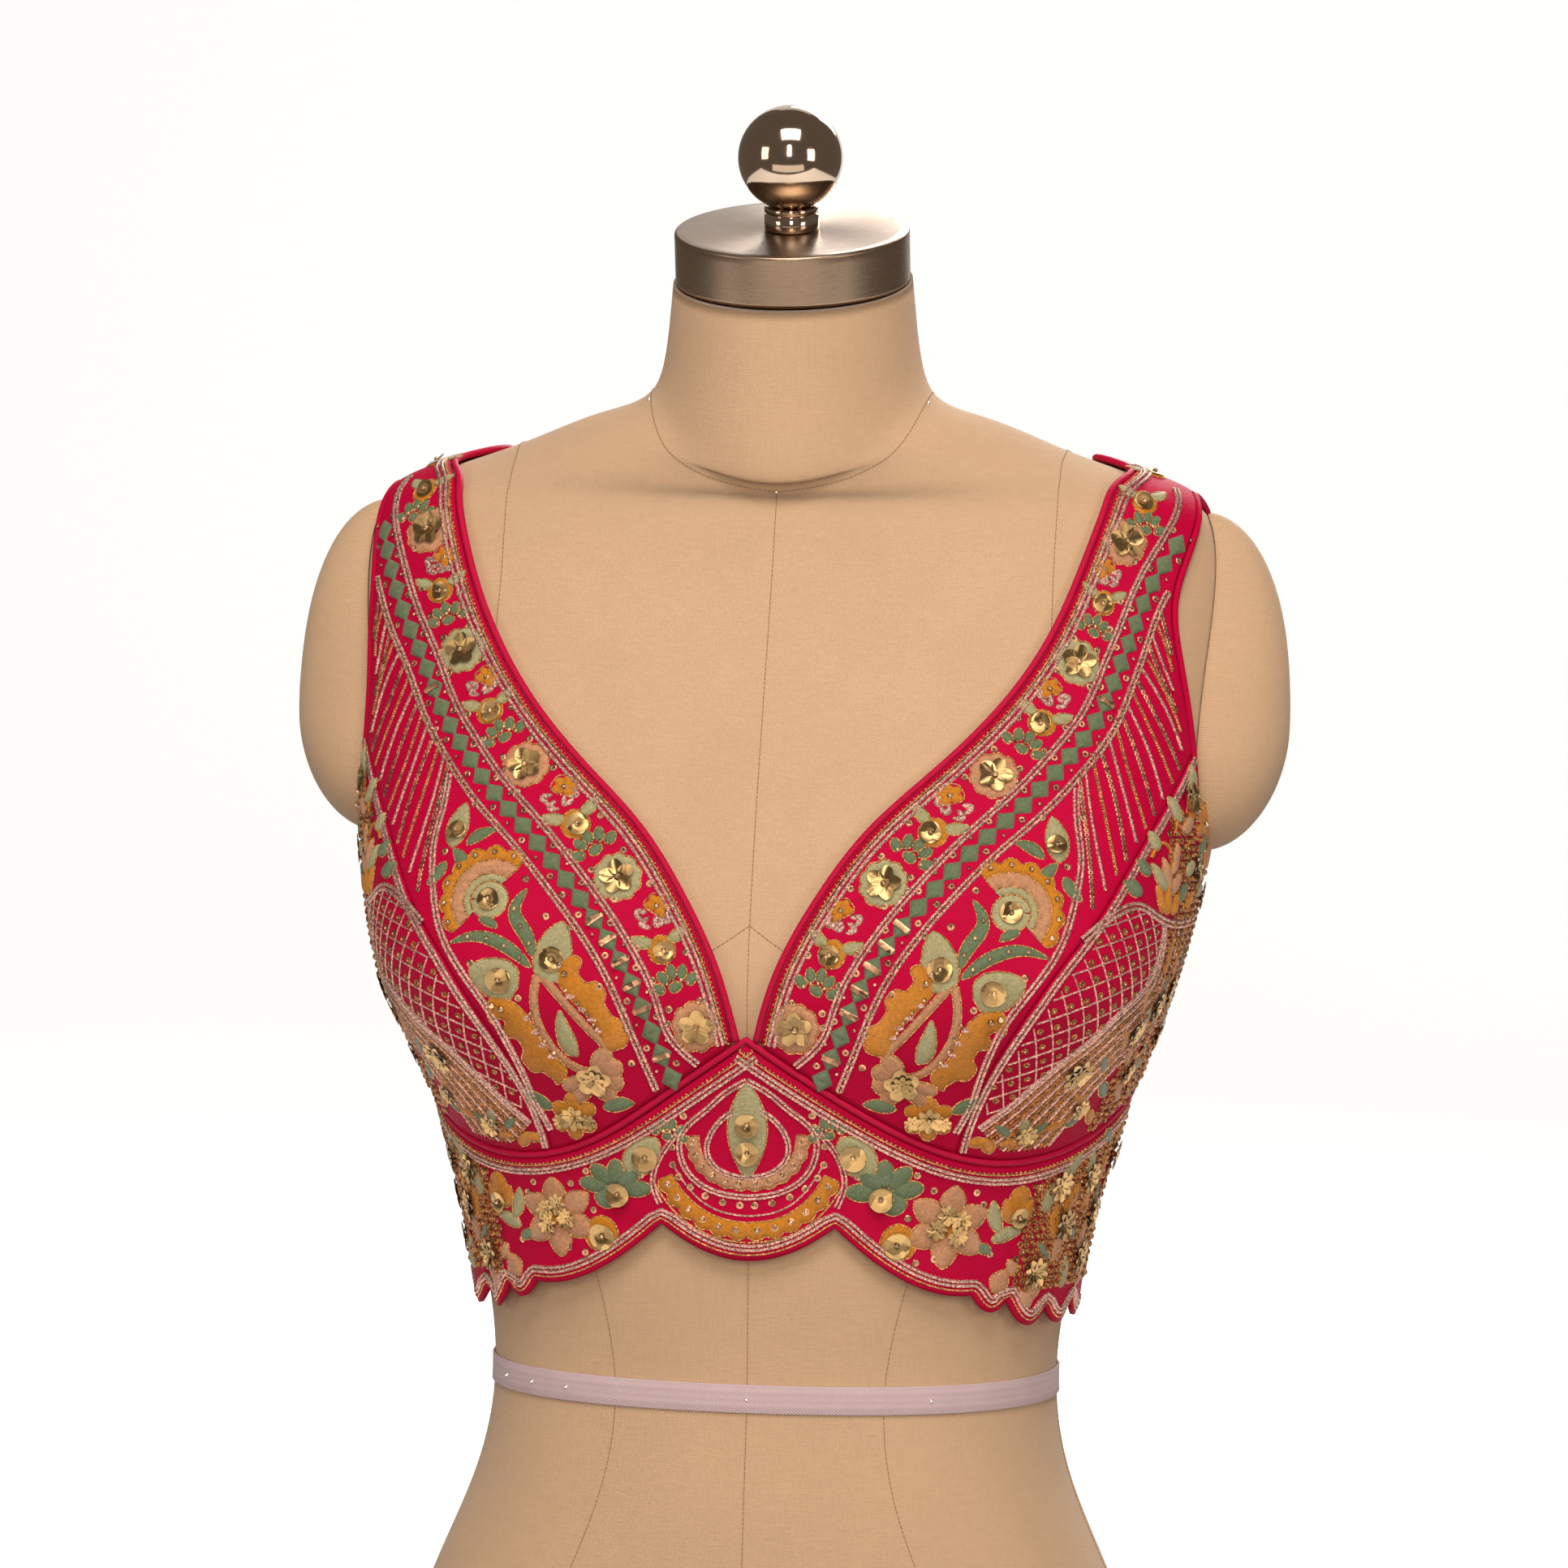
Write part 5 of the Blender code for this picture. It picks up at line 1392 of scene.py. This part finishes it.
STEMS = (
    [(55, 236), (57.5, 242), (60.5, 240), (61.5, 232)],
    [(62, 246), (63.5, 256), (66, 246)],
    [(66, 240), (71, 244), (76, 243), (80, 247)],
)
for rows in STEMS:
    corded_line(mustard, smooth(rows, 40), 0.85, 1.6)
set_down(disc, SMALL_CUT_FLOWER, [(74, 231), (84, 219), (67, 261)], (0, 20, 40), 1.4, 1.0)

SIDE_LEAVES = (
    (mustard, 67, 196, -10, 19, 5), (mustard, 60.6, 178, 24, 16, 4.5), (sage, 70, 180, -20, 15, 6),
    (mustard, 74, 190, 8, 18, 6), (pale, 66, 168, 18, 14, 7), (peach, 72, 166, -24, 14, 7),
    (mustard, 60, 160, 30, 14, 6), (sage, 56.6, 150, 40, 13, 5), (mustard, 66, 152, 46, 15, 6),
    (pale, 74, 150, 10, 15, 8), (peach, 80, 170, -6, 16, 8), (sage, 80, 192, 20, 15, 7),
    (mustard, 84, 152, 30, 15, 7), (pale, 86, 178, -14, 14, 7), (mustard, 56, 133, 62, 12, 6),
    (sage, 62, 137, 50, 13, 6), (peach, 70, 134, 30, 13, 7), (pale, 78, 136, 10, 13, 7),
    (mustard, 87, 200, 0, 16, 7), (sage, 88, 160, 40, 12, 6), (sage, 40.5, 120, 50, 9, 5),
    (pale, 44.6, 122, 10, 10, 6), (sage, 48.4, 121, -40, 10, 5), (mustard, 52.4, 122, -64, 10, 5),
    (pale, 47, 116, 80, 9, 5), (mustard, 43, 113.5, 84, 9, 4.5), (mustard, 38.6, 113, 30, 9, 6),
    (mustard, 36.4, 114, 96, 8, 5), (sage, 57, 124, -50, 11, 5), (mustard, 62, 124, 40, 10, 5),
    (mustard, 87, 142, 60, 11, 6),
)
leaves(SIDE_LEAVES, 0.6, 1.3)
middles = [(50.4, 147), (69, 173), (77, 178), (63, 163), (82, 158)]
set_down(disc, SMALL_CUT_FLOWER, middles, (0, 20, 50, 10, 35), (1.7, 1.5, 1.6, 1.3, 1.5), 0.9)
set_down(disc, SMALL_CUT_FLOWER, [(46, 118), (57, 129), (70, 143)], (0, 20, 50), 1.1, 1.1)
# Stems that run down between the leaves. The columns are the first stem's angle and rise, and what each stem
# after it adds to them.
STEM_COUNT = 5
RUN_DOWN = np.array([(63, 206, 3.4, 0), (63.5, 190, 3.6, -1), (60, 172, 4, -1), (54, 152, 4.6, -2)])
for i in range(STEM_COUNT):
    stem = smooth(RUN_DOWN[:, :2] + RUN_DOWN[:, 2:] * i)
    corded_line((zari, antique)[i % 2], stem, 0.6)
    dotted(antique, beside(stem, 1.6), 1.7, 0.8)

# The band under the bust: lines along the seam and the hem, a paisley leaf in a double tear at the centre
# with a peach and a mustard crescent round it, and flowers over the side scallops.
SEWN_TO = 91
seam_line = np.linspace(0, SEWN_TO, 300)
seam_line = np.stack([seam_line, underbust_line(seam_line)], -1)
corded_line(gold, beside(seam_line, -5.4), 0.42)
dotted(gold, beside(seam_line, -4.6), 2.1, 0.5)
twin(zari, beside(seam_line, -8.4), 0.8, 0.95)
half_hem = scallop_edge(0, SEWN_TO, 40)


def along_hem(off):
    """A line inside the scalloped hem, cut where its parts would cross at the corners."""
    line = beside(half_hem, off)
    clear = np.linalg.norm((skin(line)[:, None] - skin(half_hem)[None]), axis=-1).min(1) > off - 0.35
    return line[clear]


for off in (4.5, 6.3):
    corded_line(zari, along_hem(off), 0.8)
corded_line(gold, along_hem(2.6), 0.4)

TEAR = [(0, 141), (2.8, 136), (6, 128), (9.6, 119), (10.4, 108), (8.8, 97), (4.8, 90), (0, 88)]
TEAR_INNER = [(0, 130), (2.4, 127), (5.2, 119), (6.2, 111), (5.4, 103.5), (2.8, 98.5), (0, 97)]
for rows, off in ((TEAR, 0.8), (TEAR, -0.8), (TEAR_INNER, 0.7), (TEAR_INNER, -0.7)):
    corded_line(zari, beside(smooth(rows), off), 0.65)
PAISLEY_AT, PAISLEY_LONG, PAISLEY_HALF = (0, 118), 44, 8.256
share = np.linspace(0, 1, 17)
spine = np.stack([share * 0, (share - 0.5) * PAISLEY_LONG], -1)
half = PAISLEY_HALF * np.sin(np.pi * share**1.05) ** 0.85 + 0.172
trimmed_pad(pale, PAISLEY_AT, 0, spine, half, 1.4, True)
sewn_disc((0, 122), 0, 5.2, 1.6, 0, True)
sewn_disc((0, 109), 0, 5.2, 1.6, 0, True)


def crescent(work, rows, teeth, wide, beads):
    """A run of scalloped satin along a line, with a bead in each scallop."""
    rib, origin, spine, share = rib_along(rows, 120, 0.9)
    lobe = np.abs(np.sin(share * teeth * math.pi))
    half = np.stack([wide * (0.62 + 0.38 * lobe), wide * 0.8 + lobe * 0], -1)
    trimmed_pad(work, origin, 0, spine, half, 1.2)
    middles = rib[((np.arange(beads) + 0.5) / beads * (len(rib) - 1)).astype(int)]
    set_down(ring, RING, middles, 0, 0.95, 1.0)
    set_down(bead, BEAD, middles, 0, 0.8, 1.3)


crescent(peach, [(8.2, 117), (8, 109), (6.6, 101.4), (3.8, 95.8), (0, 94)], 6, 3.2, 6)
twin(zari, smooth([(14.5, 84), (15.4, 92), (14.4, 104), (12.2, 113), (9.6, 121)]), 0.6, 0.8)
crescent(mustard, [(13.4, 97), (11.8, 89), (8.8, 80.5), (4.8, 75), (0, 73)], 6, 4.4, 6)
for off in (5.6, -5.8):
    line = beside(smooth([(13.6, 99), (11.6, 89), (8.6, 80.5), (4.8, 75.5), (0, 73.6)]), off)
    corded_line(zari if off < 0 else gold, line[line[:, 0] >= -0.2], 0.45)
rings([
    (1.2, 84.4), (4, 85.6), (6.8, 88.4), (9.2, 92.4), (11, 97.4),
    (11.8, 103.4), (11.6, 112), (9.2, 126), (17.4, 98),
])
sprig((11.6, 119), 20, 0.8)
leaf(pale, (16.6, 107), 34, 22, 15, 0.5, 1.2, True, 0.6)
sewn_disc((16.2, 107), 20, 5.6, 1.3)
SAGE_FLOWER, PEACH_FLOWER = (22.2, 90.6), (35.0, 76)
for turn, reach in ((0, 8.6), (-42, 9.4), (-80, 10.4), (44, 8.4), (88, 9.4)):
    leaf(sage, near(SAGE_FLOWER, turn, 0, reach), turn, 13, 8.0, 0, 1.2, True, 0.5)
    rings([near(SAGE_FLOWER, turn, 0, reach + 2)], 0.8)
leaf(sage, near(SAGE_FLOWER, 0, 3.4, -3.4), 45, 13, 11, 0, 1.0, True, 0.5)
sewn_disc(near(SAGE_FLOWER, 0, -1.4, -2.4), 20, 5.2, 1.7, 0)
for turn in range(0, 360, 60):
    leaf(peach, near(PEACH_FLOWER, turn - 8, 0, 11.0), turn - 8, 14.5, 11, 0, 1.2, True, 0.7)
    leaf(mustard, near(PEACH_FLOWER, turn + 22, 0, 4.4), turn + 22, 7.5, 4.0, 0, 1.9)
    rings([near(PEACH_FLOWER, turn - 8, 0, 13)], 0.9)
middles = [near(PEACH_FLOWER, turn, 0, 5.4) for turn in (10, 100, 220, 300)]
set_down(disc, SMALL_CUT_FLOWER, middles, (0, 40, 80, 120), 1.0, 1.9)
bud((25.8, 69.8), 0, 1.18, None)
leaf(mustard, (50.2, 86), 0, 15, 11, 0, 1.3, True, 0.45)
leaf(mustard, (48, 82), 24, 12, 7, 0, 1.4)
leaf(mustard, (52.4, 82), -24, 12, 7, 0, 1.4)
sewn_disc((50.2, 79.5), 0, 4.4, 2.0)
leaf(pale, (45.2, 80), 16, 15, 6.5, -1.0)
leaf(pale, (48.6, 71), -74, 15, 6, -1.0)
leaf(pale, (58.6, 88), -26, 17, 9.5, 0.8, 1.3)
leaf(sage, (43.2, 66), 70, 8, 4.6)
rings([
    (27.4, 99), (31, 92), (27, 79.6), (41.6, 85.5), (33, 62), (45, 63.5), (55, 92), (39.6, 91), (29.4, 60.4),
])
BAND_LEAVES = (
    (mustard, 62, 76, 10, 17, 9), (mustard, 67, 86, -30, 16, 8), (peach, 65, 64, -12, 15, 9),
    (pale, 63.5, 101, -40, 14, 8), (peach, 48, 52, -36, 11, 9), (peach, 51, 57, 30, 8, 6),
    (peach, 58, 51, 4, 17, 9.5), (peach, 56, 43, 40, 9, 7), (pale, 71, 101, 12, 15, 8),
    (mustard, 74, 84, 18, 16, 8), (peach, 77, 68, -18, 15, 8), (sage, 70, 72, 26, 13, 6),
    (pale, 70, 53, 0, 15, 8), (mustard, 80, 98, -16, 15, 8), (sage, 82, 84, 24, 14, 7),
    (peach, 80, 51, 8, 14, 8), (mustard, 87, 70, -10, 15, 8), (pale, 88, 92, 14, 14, 8),
    (peach, 88, 52, 0, 13, 8), (sage, 76, 112, 50, 12, 6), (sage, 60, 63, 40, 10, 5),
    (mustard, 85, 112, -30, 13, 7),
)
leaves(BAND_LEAVES, 0.6, 1.4)
middles = [(66, 74), (73, 94), (82, 76), (61, 92), (58, 54), (78, 58), (87, 102)]
set_down(disc, SMALL_CUT_FLOWER, middles, (0, 20, 50, 10, 35, 60, 15), 1.5, 1.0)

# The ground between the side flowers: sequins and gold coils in staggered rows, as close as they lie.
GROUND_AT, GROUND_WIDE, GROUND_TALL, GROUND_UNDER = (56, 150), 110, 240, 118
GROUND_EACH, GROUND_TO = 4.3, 91.5
HEM_CLEAR, ARM_CLEAR, SEAM_OVER, SEAM_UNDER = 8, 5, 5, -11
ground = np.array([
    (x + (j % 2) * GROUND_EACH / 2, y - GROUND_UNDER)
    for j, y in enumerate(np.arange(0, GROUND_TALL, GROUND_EACH * 0.86))
    for x in np.arange(0, GROUND_WIDE, GROUND_EACH)
])
ground = on_cloth(GROUND_AT, 0, ground)
angle, rise = ground.T
hem_at = np.interp(angle, *half_hem.T)
arm_at = np.interp(angle, *curve(ARMHOLE, 400, ARM_PRINCESS, ARM_SIDE, closed=True).T)
seam_off = rise - underbust_line(angle)
clear = (angle < GROUND_TO) & (rise > hem_at + HEM_CLEAR) & (rise < arm_at - ARM_CLEAR)
clear &= (seam_off > SEAM_OVER) | (seam_off < SEAM_UNDER)
clear &= (angle > 64) | ((angle > 60) & (rise > 218)) | (rise < 100)
ground = ground[clear]
set_down(antique, RING, ground[0::3], 0, 1.15, 0.15)
set_down(bead, BEAD, ground[0::3], 0, 0.5, 0.5)
set_down(antique, GRAIN, ground[1::3], 0, 1.7)
set_down(antique, RING, ground[2::3], 0, 1.05, 0.15)

for work in (mustard, sage, pale, peach, zari, gold, antique, ring, disc, bead):
    work.sewn()


# The floor and the backdrop: one pale sweep, lit evenly.
FLOOR_FRONT, FLOOR_BACK, SWEEP_RADIUS, SWEEP_TOP, SWEEP_HALF = -0.9, 3.0, 1.4, 7.0, 1.8
paper = {"Roughness": 0.9, "Emission Color": (1, 1, 1, 1), "Emission Strength": 0.72}
sweep = Look("sweep", (0.93, 0.93, 0.93), paper)
turns = np.linspace(0.1, math.pi / 2, 14)
rows = [(FLOOR_FRONT, 0.0), (FLOOR_BACK, 0.0)]
rows += [(FLOOR_BACK + SWEEP_RADIUS * math.sin(t), SWEEP_RADIUS * (1 - math.cos(t))) for t in turns]
rows += [(FLOOR_BACK + SWEEP_RADIUS, SWEEP_TOP)]
mesh = bpy.data.meshes.new("sweep")
points = [(x, y, z) for y, z in rows for x in (-SWEEP_HALF, SWEEP_HALF)]
mesh.from_pydata(points, [], quads(len(rows), 2).tolist())
mesh.shade_smooth()
mesh.materials.append(sweep.material)
floor = bpy.data.objects.new("sweep", mesh)
bpy.context.scene.collection.objects.link(floor)
floor.visible_diffuse = False


# The studio: a large soft key above and in front, fills at both sides, and a warm dim room that the steel
# and the metal thread reflect, while the camera sees white paper.
world = bpy.data.worlds.new("studio")
world.use_nodes = True
nodes, link = world.node_tree.nodes, world.node_tree.links.new
room, backdrop = nodes["Background"], nodes.new("ShaderNodeBackground")
seen = nodes.new("ShaderNodeMixShader")
to_lens = nodes.new("ShaderNodeLightPath").outputs["Is Camera Ray"]
for shader, colour, strength in ((room, (0.42, 0.36, 0.31, 1), 0.4), (backdrop, (1, 1, 1, 1), 1.0)):
    shader.inputs["Color"].default_value = colour
    shader.inputs["Strength"].default_value = strength
for i, output in enumerate((to_lens, room.outputs[0], backdrop.outputs[0])):
    link(output, seen.inputs[i])
link(seen.outputs[0], nodes["World Output"].inputs["Surface"])
bpy.context.scene.world = world


def facing(right_way, up_way, back_way, at):
    """The matrix of a lamp or camera that looks against back_way."""
    return Matrix([*np.stack([right_way, up_way, back_way, at], -1).tolist(), [0, 0, 0, 1]])


def soft_light(name, at, aim, wide, tall, power, colour):
    data = bpy.data.lights.new(name, "AREA")
    data.shape = "RECTANGLE"
    data.size, data.size_y, data.energy, data.color = wide, tall, power, colour
    lamp = bpy.data.objects.new(name, data)
    bpy.context.scene.collection.objects.link(lamp)
    back_way = direction(np.subtract(at, aim))
    side_way = direction(np.cross((0, 0, 1), back_way))
    lamp.matrix_world = facing(side_way, np.cross(back_way, side_way), back_way, at)


soft_light("key", (0.2, -1.6, 2.6), (0, 0, 0.55), 1.6, 1.1, 43, (1, 0.97, 0.93))
soft_light("left_fill", (-1.9, -1.6, 1.0), (0, 0, 0.4), 0.7, 1.0, 7, (1, 0.96, 0.92))
soft_light("right_fill", (2.0, -1.5, 0.9), (0, 0, 0.4), 0.7, 1.0, 11, (1, 0.96, 0.92))
soft_light("back_light", (0.4, 1.9, 1.9), (0, 0, 0.5), 1.2, 0.9, 34, (1, 0.97, 0.94))
soft_light("strip", (0.2, -2.4, 1.25), (0, 0, 0.7), 0.3, 1.0, 16, (1, 0.95, 0.88))
soft_light("low_card", (0.05, -1.15, 0.16), (0, 0, 0.72), 1.7, 0.34, 2.2, (1, 0.93, 0.84))


# The camera at the photograph's viewing angle: 2.5 m away, 7.5 degrees to the right of the centre front and
# a little above the bust, rolled by one degree, with a view 678 mm wide at the form.
AWAY, AROUND, CAMERA_HEIGHT, AIM_HEIGHT, ROLL = 2.5, math.radians(7.5), 0.600, 0.489, math.radians(1.0)
VIEW_WIDE, AIM_ASIDE, SENSOR = 0.678, -0.0008, 36
aside = np.array([math.cos(AROUND), math.sin(AROUND), 0])
toward = np.array([math.sin(AROUND), -math.cos(AROUND), 0])
aim = aside * AIM_ASIDE + (0, 0, AIM_HEIGHT)
stand = aside * AIM_ASIDE + toward * AWAY + (0, 0, CAMERA_HEIGHT)
look_way = direction(aim - stand)
right_way = direction(np.cross(look_way, (0, 0, 1)))
up_way = np.cross(right_way, look_way)
cosine, sine = math.cos(ROLL), math.sin(ROLL)
right_way, up_way = right_way * cosine + up_way * sine, up_way * cosine - right_way * sine
data = bpy.data.cameras.new("camera")
data.sensor_width = SENSOR
data.lens = SENSOR * np.linalg.norm(aim - stand) / VIEW_WIDE
camera = bpy.data.objects.new("camera", data)
bpy.context.scene.collection.objects.link(camera)
camera.matrix_world = facing(right_way, up_way, -look_way, stand)
bpy.context.scene.camera = camera
bpy.context.scene.view_settings.view_transform = "Standard"
